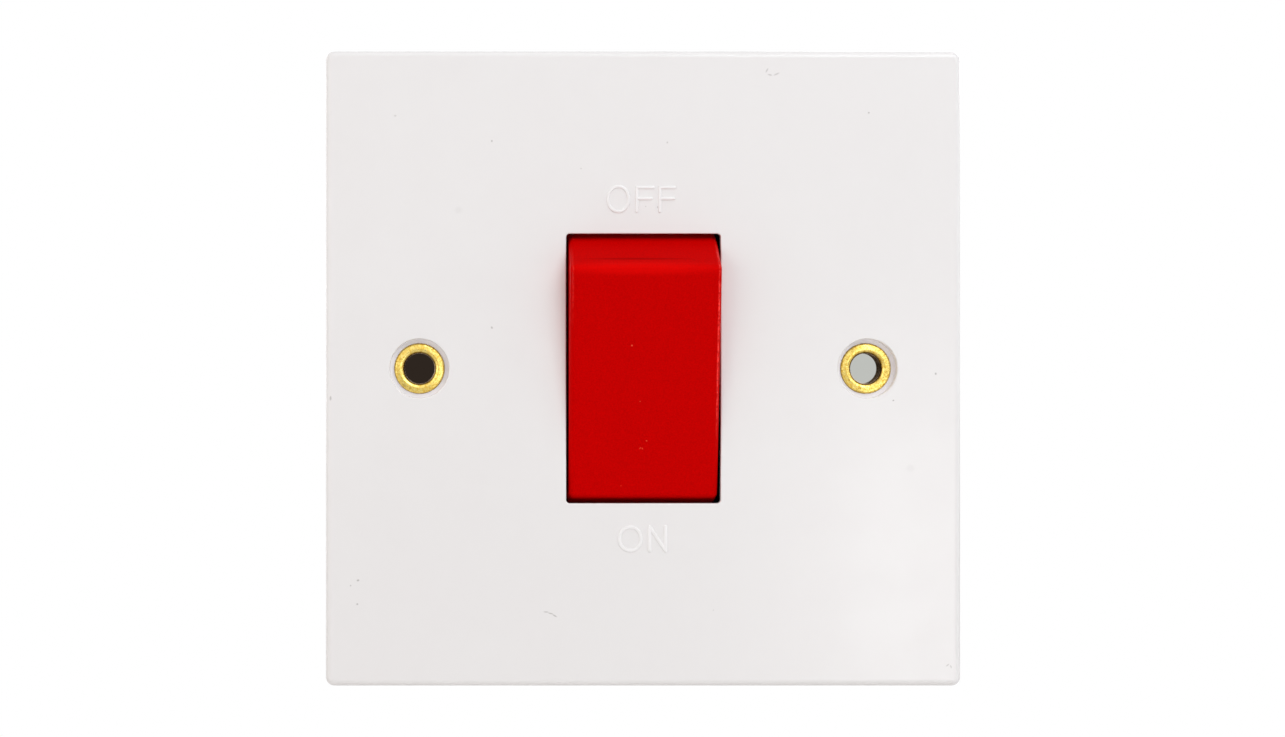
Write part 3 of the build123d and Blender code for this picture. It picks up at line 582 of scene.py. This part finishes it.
@dataclass(frozen=True)
class WorkedMetal(Finish):
    """A metal with the lines of its rolling, drawing or turning.

    The eye sees fine streaks one way, a highlight stretched across them, and
    darker flecks where it has tarnished.

    Attributes:
        tarnish: the colour of the flecks, in sRGB hex.
        run: the way in which the lines run.
        line: the spacing of the lines, in millimetres.
        fleck: the size of the flecks, in millimetres.
        fleck_span: the heights in the noise between which a fleck darkens.
        dulled: how strong a fleck is, from 0 to 1.
        stretch: how many times longer than wide a line is.
    """

    tarnish: str = "#6B4A20"
    run: Run = Run.UP
    line: float = 0.12
    fleck: float = 0.6
    fleck_span: tuple[float, float] = (0.605, 0.745)
    dulled: float = 0.8
    stretch: float = 18.0

    def pattern(self, art: Art) -> Pattern:
        """Draws the lines and the flecks.

        Args:
            art: the drawing.

        Returns:
            The sockets of the pattern.
        """
        squeeze = [per_mm(self.line)] * 3
        squeeze["XYZ".index(self.run.value)] /= self.stretch
        streaked = art.add("Mapping", {"Vector": art.place, "Scale": tuple(squeeze)})
        lines = art.add(
            "TexNoise", {"Vector": streaked, "Scale": 1.0, "Detail": 2.0, "Roughness": 0.6}
        )
        flecks = art.add(
            "TexNoise",
            {"Vector": art.place, "Scale": per_mm(self.fleck), "Detail": 4.0, "Roughness": 0.65},
        )
        dull = art.add(
            "MapRange",
            {"Value": flecks, **ramp(*self.fleck_span, 0.0, self.dulled)},
            interpolation_type="SMOOTHSTEP",
        )
        tint = self.tinted(art, dull, self.tarnish)
        worn = art.add("Math", {0: lines, 1: dull}, operation="ADD")
        rough = self.varied(art, worn, spread=0.08)
        return Pattern(tint, rough, lines)

    def settings(self) -> dict[str, object]:
        """Gives the constants of the shader that differ from its defaults."""
        return {"Metallic": 1.0}


@dataclass(frozen=True)
class DentedBrass(Finish):
    """Brass tube and flange, drawn, rolled over and tumbled clean.

    It is a mottled bright yellow with small soft dents and a few brown flecks. Its
    mouth and bore are painted dark brown as painted shade, and the flange's edge is a thin darker
    line.

    Attributes:
        shade: the colour of the mottling, in sRGB hex.
        tarnish: the colour of the flecks, in sRGB hex.
        brown: the colour of the painted shade in the bore and of the darker line at the flange's
            edge, in sRGB hex.
        dent: the size of the dents, in millimetres.
        fleck: the size of the flecks, in millimetres.
        mottle_span: the heights in the noise between which the mottling comes in.
        fleck_span: the heights in the noise between which a fleck darkens.
        dulled: how strong a fleck is, from 0 to 1.
        darkened: how strong that dark brown is, from 0 to 1.
        axis_x: how far each eyelet's axis is from the middle, in millimetres.
        bore: where the painted shade of the bore is full and where it ends, from the axis.
        rim: where the darker line at the flange's edge begins and where it is full, from the axis.
    """

    shade: str = "#E2B642"
    tarnish: str = "#8A6418"
    brown: str = "#6A4206"
    dent: float = 0.3
    fleck: float = 0.51
    mottle_span: tuple[float, float] = (0.42, 0.66)
    fleck_span: tuple[float, float] = (0.60, 0.70)
    dulled: float = 0.4
    darkened: float = 0.9
    axis_x: float = 30.15
    bore: tuple[float, float] = (2.08, 2.42)
    rim: tuple[float, float] = (3.3, 3.41)

    def pattern(self, art: Art) -> Pattern:
        """Draws the mottling, the dents, the flecks, the painted shade in the bore and the darker
        edge line.

        Args:
            art: the drawing.

        Returns:
            The sockets of the pattern.
        """
        dents = art.add(
            "TexNoise",
            {"Vector": art.place, "Scale": per_mm(self.dent), "Detail": 3.0, "Roughness": 0.6},
        )
        mottled = art.add("MapRange", {"Value": dents, **ramp(*self.mottle_span)})
        flecks = art.add(
            "TexNoise", {"Vector": art.place, "Scale": per_mm(self.fleck), "Detail": 3.0}
        )
        dull = art.add(
            "MapRange",
            {"Value": flecks, **ramp(*self.fleck_span, 0.0, self.dulled)},
            interpolation_type="SMOOTHSTEP",
        )
        # Painted shade: the bore goes dark brown; the flange's edge gets a thin darker line.
        across, up = (art.add("SeparateXYZ", {"Vector": art.place}, out=way) for way in "XZ")
        off = art.add("Math", {0: across}, operation="ABSOLUTE")
        flat = art.add("CombineXYZ", {"X": off, "Z": up})
        axis = (self.axis_x * MM, 0.0, 0.0)
        away = art.add("VectorMath", {0: flat, 1: axis}, out="Value", operation="DISTANCE")
        edges = (
            ramp(*(r * MM for r in self.bore), self.darkened, 0.0),
            ramp(*(r * MM for r in self.rim), 0.0, self.darkened),
        )
        brown = [art.add("MapRange", {"Value": away, **edge}) for edge in edges]
        tint = self.tinted(art, mottled, self.shade)
        for factor, colour in ((dull, self.tarnish), (merged(art, brown), self.brown)):
            tint = art.add("Mix", {"Factor": factor, UNDER: tint, OVER: linear(colour)}, **COLOURS)
        return Pattern(tint, self.varied(art, dents, spread=0.07), dents)

    def settings(self) -> dict[str, object]:
        """Gives the constants of the shader that differ from its defaults."""
        return {"Metallic": 1.0}


@dataclass(frozen=True)
class Paint(Finish):
    """The matt emulsion of a studio floor: pale, even, with a faint roller stipple.

    Attributes:
        shade: the colour of the stipple, in sRGB hex.
        stipple: the size of the stipple, in millimetres.
    """

    shade: str = "#E2E0DE"
    stipple: float = 6.0

    def pattern(self, art: Art) -> Pattern:
        """Draws the stipple.

        Args:
            art: the drawing.

        Returns:
            The sockets of the pattern.
        """
        stipple = art.add(
            "TexNoise", {"Vector": art.place, "Scale": per_mm(self.stipple), "Detail": 2.0}
        )
        tint = self.tinted(art, stipple, self.shade)
        return Pattern(tint, self.varied(art, stipple, spread=0.03), stipple)


# Urea-formaldehyde plate, moulded against polished steel: a hard, clean, glossy white.
PLATE_UREA = MouldedUrea(
    "plate_white_urea", "#EDEBEA", 0.22, 0.0025, tinted_marks=(PLATE_DUST,), lit_pockets=EYELET_POCKET_LIGHT
)
# The words are the same moulding, cut by a cutter and so a little smoother and lighter.
WORD_UREA = MouldedUrea("word_white_urea", "#F7F5F5", 0.24, 0.003)
# Red polycarbonate rocker, spark-eroded grain: a deep dry red, with a painted glint on its
# edges, a painted highlight under its fold and painted shade in the fold and at its foot.
ROCKER_RED = GlintEdgedPlastic(
    "rocker_red_polycarbonate",
    "#CE0000",
    0.42,
    0.01,
    shade="#BC0000",
    grain=0.22,
    sheen=0.01,
    tinted_marks=(ROCKER_CREST_HIGHLIGHT, ROCKER_FOLD_SHADE, ROCKER_FOOT_SHADE, ROCKER_NICKS),
)
# Black glass-filled nylon frame: a near-black that swallows the light round the rocker.
FRAME_NYLON = EtchedPlastic(
    "frame_black_nylon", "#101011", 0.55, 0.012, shade="#0A0A0A", grain=0.4, sheen=0.3, ior=1.53
)
# Phenolic base, compression moulded: very dark brown with a dull polish.
BASE_PHENOLIC = EtchedPlastic(
    "base_brown_phenolic", "#2B211C", 0.38, 0.006, shade="#1E1613", grain=0.7, sheen=0.5, ior=1.6
)
# Acetal plungers, turned: milky white and slippery.
PLUNGER_ACETAL = EtchedPlastic(
    "plunger_white_acetal", "#E6E5DE", 0.35, 0.004, shade="#D9D8D0", grain=0.5, ior=1.48
)
# Eyelets, drawn and tumbled: bright yellow brass with soft dents.
EYELET_BRASS = DentedBrass("eyelet_tumbled_brass", "#FFE686", 0.28, 0.012)
# Terminal blocks, sawn from drawn bar: dull gold with streaks along the bar.
TERMINAL_BRASS = WorkedMetal("terminal_drawn_brass", "#D9B061", 0.36, 0.006, run=Run.UP)
# Earth strap, blanked from rolled strip: streaks along the strip.
EARTH_BRASS = WorkedMetal("earth_rolled_brass", "#DDB55E", 0.32, 0.004, run=Run.UP, line=0.08)
# Contact arms, blanked from rolled copper: warm pink metal, browned in flecks.
ARM_COPPER = WorkedMetal(
    "arm_rolled_copper", "#D98B63", 0.33, 0.004, tarnish="#6A3520", run=Run.UP, line=0.08
)
# Contact tips, headed from silver wire: pale and soft, dimmed where they have arced.
TIP_SILVER = WorkedMetal(
    "tip_headed_silver", "#E4E2DA", 0.34, 0.004, tarnish="#6E665A", run=Run.ACROSS, stretch=3.0
)
# Screws, zinc plated and passivated: cool grey with a faint yellow bloom.
SCREW_ZINC = WorkedMetal(
    "screw_zinc_plated_steel", "#C9CBCC", 0.3, 0.005, tarnish="#8F8A78", run=Run.ACROSS, stretch=4.0
)
# Springs, drawn music wire: dark bright steel.
SPRING_WIRE = WorkedMetal(
    "spring_drawn_wire", "#8C8D90", 0.28, 0.003, tarnish="#4A4846", run=Run.DEEP, line=0.06
)
# The studio's floor, matt emulsion put on with a roller: pale and even.
FLOOR_PAINT = Paint("floor_pale_emulsion", "#DCDAD8", 0.8, 0.05)


@dataclass
class Stroke:
    """One pen stroke of a raised letter, seen from the front.

    Attributes:
        points: the (x, z) points of its middle line, in millimetres.
        closed: whether the last point joins the first.
    """

    points: list[tuple[float, float]]
    closed: bool = False

    @staticmethod
    def ring(x: float, z: float, half_width: float, half_height: float) -> "Stroke":
        """Makes the closed stroke of a letter O, a little squarer than an ellipse.

        Args:
            x: the middle, across.
            z: the middle, up.
            half_width: from the middle to the line, across.
            half_height: from the middle to the line, up.

        Returns:
            The stroke.
        """
        steps, power = 72, 2 / 2.12
        points = []
        for i in range(steps):
            c, s = math.cos(math.tau * i / steps), math.sin(math.tau * i / steps)
            across = half_width * math.copysign(abs(c) ** power, c)
            up = half_height * math.copysign(abs(s) ** power, s)
            points.append((x + across, z + up))
        return Stroke(points, closed=True)


@dataclass
class Ridge:
    """The rounded ridge that a cutter leaves for a letter, raised from the plate.

    Attributes:
        width: its width at the plate, in millimetres.
        height: how far it stands proud, in millimetres.
        sunk: how far its foot goes into the plate, in millimetres.
        cap_steps: how many spokes make its round end.
    """

    width: float
    height: float
    sunk: float = 0.08
    cap_steps: int = 10

    def profile(self) -> list[tuple[float, float]]:
        """Gives half of the ridge's section as (share of half the width, height) pairs."""
        top = [(0.0, 1.0), (0.34, 1.0), (0.56, 0.95), (0.74, 0.82), (0.88, 0.55), (0.97, 0.2)]
        foot = [(1.0, 0.0), (1.0, -self.sunk / self.height), (0.0, -self.sunk / self.height)]
        return [(share * self.width / 2, rise * self.height) for share, rise in top + foot]

    def spokes(self, stroke: Stroke) -> list[list[tuple[Vector, Vector]]]:
        """Walks round a stroke and gives the spokes on which its section stands.

        Args:
            stroke: the stroke.

        Returns:
            Closed loops of (middle point, outward direction) pairs.
        """
        points = [Vector(p) for p in stroke.points]
        count = len(points)
        if stroke.closed:
            loops = []
            for side in (1, -1):
                loop = []
                for i, point in enumerate(points):
                    along = (points[(i + 1) % count] - points[i - 1]).normalized()
                    loop.append((point, Vector((along.y, -along.x)) * side))
                loops.append(loop)
            return loops
        loop = []
        along = (points[-1] - points[0]).normalized()
        out = Vector((along.y, -along.x))
        for point, start in ((points[-1], 0.0), (points[0], math.pi)):
            for k in range(self.cap_steps + 1):
                turn = start + math.pi * k / self.cap_steps
                loop.append((point, out * math.cos(turn) + along * math.sin(turn)))
        return [loop]

    def add(self, bm: bmesh.types.BMesh, stroke: Stroke, face_y: float) -> None:
        """Adds a stroke's ridge to a mesh.

        Args:
            bm: the mesh.
            stroke: the stroke.
            face_y: the depth of the plate's face, in millimetres.
        """
        section = self.profile()
        for loop in self.spokes(stroke):
            rows = []
            for middle, out in loop:
                row = []
                for reach, rise in section:
                    spot = middle + out * reach
                    row.append(bm.verts.new(Vector((spot.x, face_y - rise, spot.y)) * MM))
                rows.append(row)
            for here, there in zip(rows, rows[1:] + rows[:1]):
                for k in range(len(section) - 1):
                    bm.faces.new((here[k], there[k], there[k + 1], here[k + 1]))


@dataclass
class Words:
    """The raised OFF above the rocker and ON below it.

    Attributes:
        face_y: the depth of the plate's face, in millimetres.
        step: how much prouder each stroke stands than the one before it, in millimetres.
        off_ridge: the ridge of OFF.
        on_ridge: the ridge of ON.
        off_o: the O of OFF: its middle and half its size, in millimetres.
        off_fs: for each F, where its stem is and where its two bars end.
        off_rows: the heights of the top bar, the middle bar and the foot of an F.
        on_o: the O of ON: its middle and half its size, in millimetres.
        on_n: where the stems of the N are.
        on_rows: the heights of the top and the foot of the N.
    """

    face_y: float
    step: float = 0.003
    off_ridge: Ridge = field(default_factory=lambda: Ridge(0.44, 0.16))
    on_ridge: Ridge = field(default_factory=lambda: Ridge(0.5, 0.14))
    off_o: tuple[float, float, float, float] = (-3.39, 22.8, 1.38, 1.68)
    off_fs: tuple[tuple[float, float, float], ...] = ((-0.9, 1.3, 1.02), (2.18, 4.22, 4.04))
    off_rows: tuple[float, float, float] = (24.36, 22.86, 21.14)
    on_o: tuple[float, float, float, float] = (-1.80, -22.91, 1.43, 1.57)
    on_n: tuple[float, float] = (0.8, 2.95)
    on_rows: tuple[float, float] = (-21.28, -24.5)

    def letter_f(self, stem: float, top_end: float, bar_end: float) -> list[Stroke]:
        """Makes the strokes of one F.

        Args:
            stem: the middle of its stem, across.
            top_end: where its top bar ends.
            bar_end: where its middle bar ends.

        Returns:
            The strokes.
        """
        top, bar, foot = self.off_rows
        return [
            Stroke([(stem, foot), (stem, top)]),
            Stroke([(stem, top), (top_end, top)]),
            Stroke([(stem, bar), (bar_end, bar)]),
        ]

    def piece(self, name: str, ridge: Ridge, strokes: list[Stroke]) -> Object:
        """Makes one word as an object.

        Args:
            name: the object's name.
            ridge: the ridge of its strokes.
            strokes: its strokes.

        Returns:
            The object, riding on the switch's body.
        """
        bm = bmesh.new()
        for i, stroke in enumerate(strokes):
            ridge.add(bm, stroke, self.face_y - i * self.step)
        bmesh.ops.remove_doubles(bm, verts=bm.verts, dist=1e-7)
        bmesh.ops.dissolve_degenerate(bm, edges=bm.edges, dist=1e-8)
        bmesh.ops.recalc_face_normals(bm, faces=bm.faces)
        mesh = bpy.data.meshes.new(name)
        bm.to_mesh(mesh)
        bm.free()
        mesh.shade_smooth()
        made = bpy.data.objects.new(name, mesh)
        bpy.context.scene.collection.objects.link(made)
        made.data.materials.append(WORD_UREA.material())
        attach(made, "switch_body")
        return made

    def build(self) -> list[Object]:
        """Makes both words.

        Returns:
            The two objects.
        """
        off = [Stroke.ring(*self.off_o)]
        for letter in self.off_fs:
            off += self.letter_f(*letter)
        (left, right), (top, foot) = self.on_n, self.on_rows
        on = [
            Stroke.ring(*self.on_o),
            Stroke([(left, foot), (left, top)]),
            Stroke([(left, top), (right, foot)]),
            Stroke([(right, foot), (right, top)]),
        ]
        return [
            self.piece("word_off", self.off_ridge, off),
            self.piece("word_on", self.on_ridge, on),
        ]


def dress(finishes: dict[str, Finish]) -> list[Object]:
    """Gives CAD nodes their finishes, with one material for each finish.

    Args:
        finishes: the finish of each node.

    Returns:
        The nodes' objects.
    """
    dressed = []
    for node, finish in finishes.items():
        piece = frame["nodes"][node]
        piece.data.materials.clear()
        piece.data.materials.append(bpy.data.materials.get(finish.name) or finish.material())
        dressed.append(piece)
    return dressed


SIDES = ("left", "right")


def on_both_sides(part: str, finish: Finish) -> dict[str, Finish]:
    """Gives one finish to the left and right nodes of a part."""
    return {f"{side}_{part}": finish for side in SIDES}


@dataclass
class Plate:
    """The face plate with its words and eyelets."""

    words: Words

    def build(self) -> list[Object]:
        """Dresses the plate and its eyelets, and raises the words.

        Returns:
            The pieces.
        """
        finishes = {"face_plate": PLATE_UREA, **on_both_sides("eyelet", EYELET_BRASS)}
        return dress(finishes) + self.words.build()


@dataclass
class RockerGroup:
    """The rocker with the plungers and springs that it carries."""

    def shorten_springs(self) -> None:
        """Gives each spring that a joint deforms its own copy of its mesh."""
        for joint in frame["joints"]:
            for spring in joint.get("deforming_nodes", []):
                piece = frame["nodes"][spring["node"]]
                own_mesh(piece)

    def build(self) -> list[Object]:
        """Dresses the rocker, its plungers and their springs.

        Returns:
            The pieces.
        """
        finishes = {
            "rocker": ROCKER_RED,
            **on_both_sides("plunger", PLUNGER_ACETAL),
            **on_both_sides("plunger_spring", SPRING_WIRE),
        }
        dressed = dress(finishes)
        self.shorten_springs()
        return dressed


@dataclass
class Mechanism:
    """The two mouldings behind the plate, the contacts, the terminals and the screws."""

    def build(self) -> list[Object]:
        """Dresses the mechanism.

        Returns:
            The pieces.
        """
        finishes = {
            "rocker_frame": FRAME_NYLON,
            "contact_base": BASE_PHENOLIC,
            **on_both_sides("contact_arm", ARM_COPPER),
            **on_both_sides("moving_tip", TIP_SILVER),
            **on_both_sides("fixed_tip", TIP_SILVER),
            **on_both_sides("load_terminal", TERMINAL_BRASS),
            **on_both_sides("supply_terminal", TERMINAL_BRASS),
            **on_both_sides("load_screw", SCREW_ZINC),
            **on_both_sides("supply_screw", SCREW_ZINC),
            "earth_strap": EARTH_BRASS,
            "earth_terminal": TERMINAL_BRASS,
            "earth_screw": SCREW_ZINC,
            "frame_screws": SCREW_ZINC,
            "base_screws": SCREW_ZINC,
        }
        return dress(finishes)


@dataclass
class Lamp:
    """A soft box of the studio.

    Attributes:
        name: the lamp's name.
        place: where it stands, in metres.
        aim: the point at which it is aimed, in metres.
        width: its width, in metres.
        height: its height, in metres.
        power: its power, in watts.
        colour: its colour, in sRGB hex.
    """

    name: str
    place: tuple[float, float, float]
    aim: tuple[float, float, float]
    width: float
    height: float
    power: float
    colour: str = "#FFFFFF"

    def build(self) -> Object:
        """Makes the lamp.

        Returns:
            The lamp.
        """
        data = bpy.data.lights.new(self.name, "AREA")
        data.shape = "RECTANGLE"
        data.size, data.size_y = self.width, self.height
        data.energy = self.power
        data.color = linear(self.colour)[:3]
        made = bpy.data.objects.new(self.name, data)
        bpy.context.scene.collection.objects.link(made)
        made.location = self.place
        towards = Vector(self.aim) - Vector(self.place)
        made.rotation_mode = "QUATERNION"
        made.rotation_quaternion = towards.to_track_quat("-Z", "Y")
        return made


def stage_sheet(name: str, corners: list[tuple[float, float, float]], material: Material) -> Object:
    """Makes one flat piece of the stage.

    Args:
        name: its name.
        corners: its corners, in metres, in turn.
        material: its material.

    Returns:
        The object.
    """
    mesh = bpy.data.meshes.new(name)
    mesh.from_pydata(corners, [], [tuple(range(len(corners)))])
    mesh.materials.append(material)
    made = bpy.data.objects.new(name, mesh)
    bpy.context.scene.collection.objects.link(made)
    return made


@dataclass
class Board:
    """The white board behind the switch, with the plate's shade painted on it where the plate hides
    it.

    Only its front shows, so that the back of the switch can be looked at. The painted
    shade is light grey on the right, where the lamps reach in, and nearly black on the
    left. It fades where the board is looked at from the side, past the plate. Behind the
    eyelets a painted dark shows to reflections too, a painted reflection that makes the brass tubes
    dark inside.

    Attributes:
        low: the height of its foot, in metres.
        high: the height of its top, in metres.
        reach: how far it reaches left and right, in metres.
        depth: its depth behind the plate's rim, in millimetres.
        dark: the colour of the painted shade on the left, in sRGB hex.
        grey: the colour of the painted shade on the right, in sRGB hex.
        lit: where the painted shade goes from dark to grey, across, in millimetres.
        shade_x: the middle of the shade, in millimetres.
        shade_half: half the width and half the height of the shade, in millimetres.
        shade_edge: where the shade begins to fade and where it ends, as shares of its half.
        aslant: how far from head-on the shade begins to fade and is gone, from 0 to 1.
        tube: the painted dark that the eyelets' tubes reflect, a painted reflection, in sRGB hex.
        hole_x: how far each eyelet is from the middle, in millimetres.
        hole_fade: where that colour is full and where it ends, from the eyelet's axis.
    """

    low: float
    high: float = 0.6
    reach: float = 1.5
    depth: float = 28.5
    dark: str = "#2E2620"
    grey: str = "#BEC0BB"
    lit: tuple[float, float] = (-22.0, 14.0)
    shade_x: float = 1.5
    shade_half: tuple[float, float] = (44.0, 30.0)
    shade_edge: tuple[float, float] = (0.86, 1.0)
    aslant: tuple[float, float] = (0.03, 0.06)
    tube: str = "#2A2110"
    hole_x: float = 30.15
    hole_fade: tuple[float, float] = (11.0, 15.0)

    def with_painted_shade(self, art: Art, across: Socket) -> Socket:
        """Draws the white card with the plate's shade painted on it.

        Args:
            art: the drawing.
            across: how far right the point is, in metres.

        Returns:
            The socket of the colour.
        """
        # Painted shade: nearly black on the left, light grey on the right.
        lit = art.add(
            "MapRange",
            {"Value": across, **ramp(*(x * MM for x in self.lit))},
            interpolation_type="SMOOTHSTEP",
        )
        shade = art.add(
            "Mix", {"Factor": lit, UNDER: linear(self.dark), OVER: linear(self.grey)}, **COLOURS
        )
        local = art.add(
            "Mapping",
            {
                "Vector": art.place,
                "Location": (self.shade_x * MM, self.depth * MM, 0.0),
                "Scale": (self.shade_half[0] * MM, 1.0, self.shade_half[1] * MM),
            },
            vector_type="TEXTURE",
        )
        away = art.add("VectorMath", {0: local}, out="Value", operation="LENGTH")
        outside = art.add(
            "MapRange", {"Value": away, **ramp(*self.shade_edge)}, interpolation_type="SMOOTHSTEP"
        )
        slant = art.add("LayerWeight", {"Blend": 0.5}, out="Facing")
        past = art.add("MapRange", {"Value": slant, **ramp(*self.aslant)})
        return art.add(
            "Mix", {"Factor": merged(art, [outside, past]), UNDER: shade, OVER: WHITE}, **COLOURS
        )

    def behind_hole(self, art: Art, across: Socket) -> Socket:
        """Draws round masks behind the two eyelets, where the painted reflection lies.

        Args:
            art: the drawing.
            across: how far right the point is, in metres.

        Returns:
            The socket of the mask, from 0 to 1.
        """
        up = art.add("SeparateXYZ", {"Vector": art.place}, out="Z")
        off = art.add("Math", {0: across}, operation="ABSOLUTE")
        folded = art.add("CombineXYZ", {"X": off, "Z": up})
        axis = (self.hole_x * MM, 0.0, 0.0)
        gap = art.add("VectorMath", {0: folded, 1: axis}, out="Value", operation="DISTANCE")
        return art.add(
            "MapRange", {"Value": gap, **ramp(*(r * MM for r in self.hole_fade), 1.0, 0.0)}
        )

    def material(self) -> Material:
        """Builds the card's material: it glows white, with painted shade and a painted reflection.

        Returns:
            The new material.
        """
        made = bpy.data.materials.new("board_card_painted_shade")
        made.use_nodes = True
        art = Art.begin(made.node_tree)
        across = art.add("SeparateXYZ", {"Vector": art.place}, out="X")
        glossy = art.add("LightPath", out="Is Glossy Ray")
        direct = art.add("LightPath", out="Is Camera Ray")
        # Painted reflection: behind the eyelets, reflections see the card's painted dark.
        mirrored = art.add(
            "Math", {0: self.behind_hole(art, across), 1: glossy}, operation="MULTIPLY"
        )
        colour = art.add(
            "Mix",
            {
                "Factor": glossy,
                UNDER: self.with_painted_shade(art, across),
                OVER: linear(self.tube),
            },
            **COLOURS,
        )
        glow = art.add("Emission", {"Color": colour, "Strength": 1.0})
        clear = art.add("BsdfTransparent")
        back = art.add("NewGeometry", out="Backfacing")
        front = art.add("Math", {0: 1.0, 1: back}, operation="SUBTRACT")
        shown = art.add(
            "Math", {0: front, 1: merged(art, [direct, mirrored])}, operation="MULTIPLY"
        )
        mixed = art.add("MixShader", {0: shown, 1: clear, 2: glow})
        art.add("OutputMaterial", {"Surface": mixed})
        return made

    def build(self) -> Object:
        """Makes the board.

        Returns:
            The board.
        """
        side, y, low, high = self.reach, self.depth * MM, self.low, self.high
        corners = [(-side, y, low), (side, y, low), (side, y, high), (-side, y, high)]
        return stage_sheet("board", corners, self.material())


@dataclass
class Studio:
    """The camera, the lamps, the white surround, the pale floor and the board behind.

    Attributes:
        camera_place: where the camera stands, in metres.
        lens: the focal length, in millimetres, on a 36 mm sensor.
        shift: how far the frame is shifted to the right, as a share of its width.
        sky: the strength of the surround's light on the object from above.
        ground: the strength of the surround's light on the object from below.
        horizon: the heights of a direction between which the one goes over to the other.
        floor_z: the height of the floor, in metres.
        floor_reach: how far the floor reaches each way, in metres.
        lamps: the lamps.
    """

    camera_place: tuple[float, float, float] = (-0.026, -0.269, 0.0)
    lens: float = 54.156
    shift: float = 0.14964
    sky: float = 0.587
    ground: float = 0.195
    horizon: tuple[float, float] = (-0.5, 0.7)
    floor_z: float = -0.16
    floor_reach: float = 3.0
    lamps: tuple[Lamp, ...] = (
        Lamp("key_right", (0.3, -0.56, 0.42), (0, 0, 0), 0.45, 0.45, 1.94, "#F1F7FE"),
        Lamp("fill_left", (-0.48, -0.45, 0.12), (0, 0, 0), 0.4, 0.5, 0.72, "#FFF1EA"),
        Lamp("side_right", (0.5, -0.12, -0.02), (0, 0, 0), 0.12, 0.4, 0.25),
        Lamp("side_left", (-0.5, -0.1, 0.0), (0, 0, 0), 0.16, 0.4, 0.2),
        Lamp("top", (0.0, -0.2, 0.52), (0, 0, 0), 0.5, 0.2, 0.33),
        Lamp("front_right", (0.2, -0.56, -0.11), (0.03, 0, -0.02), 0.14, 0.2, 0.25),
        Lamp("back_left", (0.4, 0.55, 0.35), (0, 0.02, 0), 0.5, 0.5, 1.6),
        Lamp("back_right", (-0.45, 0.5, 0.1), (0, 0.02, 0), 0.4, 0.5, 0.8),
    )

    def build_camera(self) -> Object:
        """Makes the camera, square to the plate and left of its middle, as the photograph has it.

        Returns:
            The camera.
        """
        data = bpy.data.cameras.new("camera")
        data.sensor_fit = "HORIZONTAL"
        data.sensor_width = 36.0
        data.lens = self.lens
        data.shift_x = self.shift
        data.clip_start, data.clip_end = 0.01, 50.0
        made = bpy.data.objects.new("camera", data)
        bpy.context.scene.collection.objects.link(made)
        made.location = self.camera_place
        made.rotation_euler = (math.radians(90), 0.0, 0.0)
        bpy.context.scene.camera = made
        return made

    def build_surround(self) -> bpy.types.World:
        """Makes the surround: white where it is seen or reflected, dimmer as a light.

        Returns:
            The world.
        """
        world = bpy.data.worlds.new("surround")
        world.use_nodes = True
        art = Art.begin(world.node_tree, "Generated")
        rays = ("Is Camera Ray", "Is Glossy Ray", "Is Transmission Ray")
        seen = merged(art, [art.add("LightPath", out=ray) for ray in rays])
        height = art.add("SeparateXYZ", {"Vector": art.place}, out="Z")
        light = art.add("MapRange", {"Value": height, **ramp(*self.horizon, self.ground, self.sky)})
        strength = merged(art, [seen, light])
        glow = art.add("Background", {"Color": WHITE, "Strength": strength})
        art.add("OutputWorld", {"Surface": glow})
        bpy.context.scene.world = world
        return world

    def build_floor(self) -> Object:
        """Makes the pale floor, which takes the object's shadow.

        Returns:
            The floor.
        """
        far, z = self.floor_reach, self.floor_z
        corners = [(-far, -far, z), (far, -far, z), (far, far, z), (-far, far, z)]
        return stage_sheet("floor", corners, FLOOR_PAINT.material())

    def build(self) -> list[Object]:
        """Makes the whole studio.

        Returns:
            Its objects.
        """
        bpy.context.scene.view_settings.view_transform = "Standard"
        self.build_surround()
        made = [self.build_camera(), self.build_floor(), Board(low=self.floor_z).build()]
        return made + [lamp.build() for lamp in self.lamps]


def main() -> None:
    """Builds every group in order and reports its pieces."""
    logging.basicConfig(level=logging.INFO, format="%(name)s: %(message)s")
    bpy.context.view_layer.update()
    front_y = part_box("face_plate")[0].y / MM
    groups = (Studio(), Plate(Words(front_y)), RockerGroup(), Mechanism())
    for group in groups:
        for piece in group.build():
            log.info("%s: %s", type(group).__name__, piece.name)


if __name__ == "__main__":
    main()
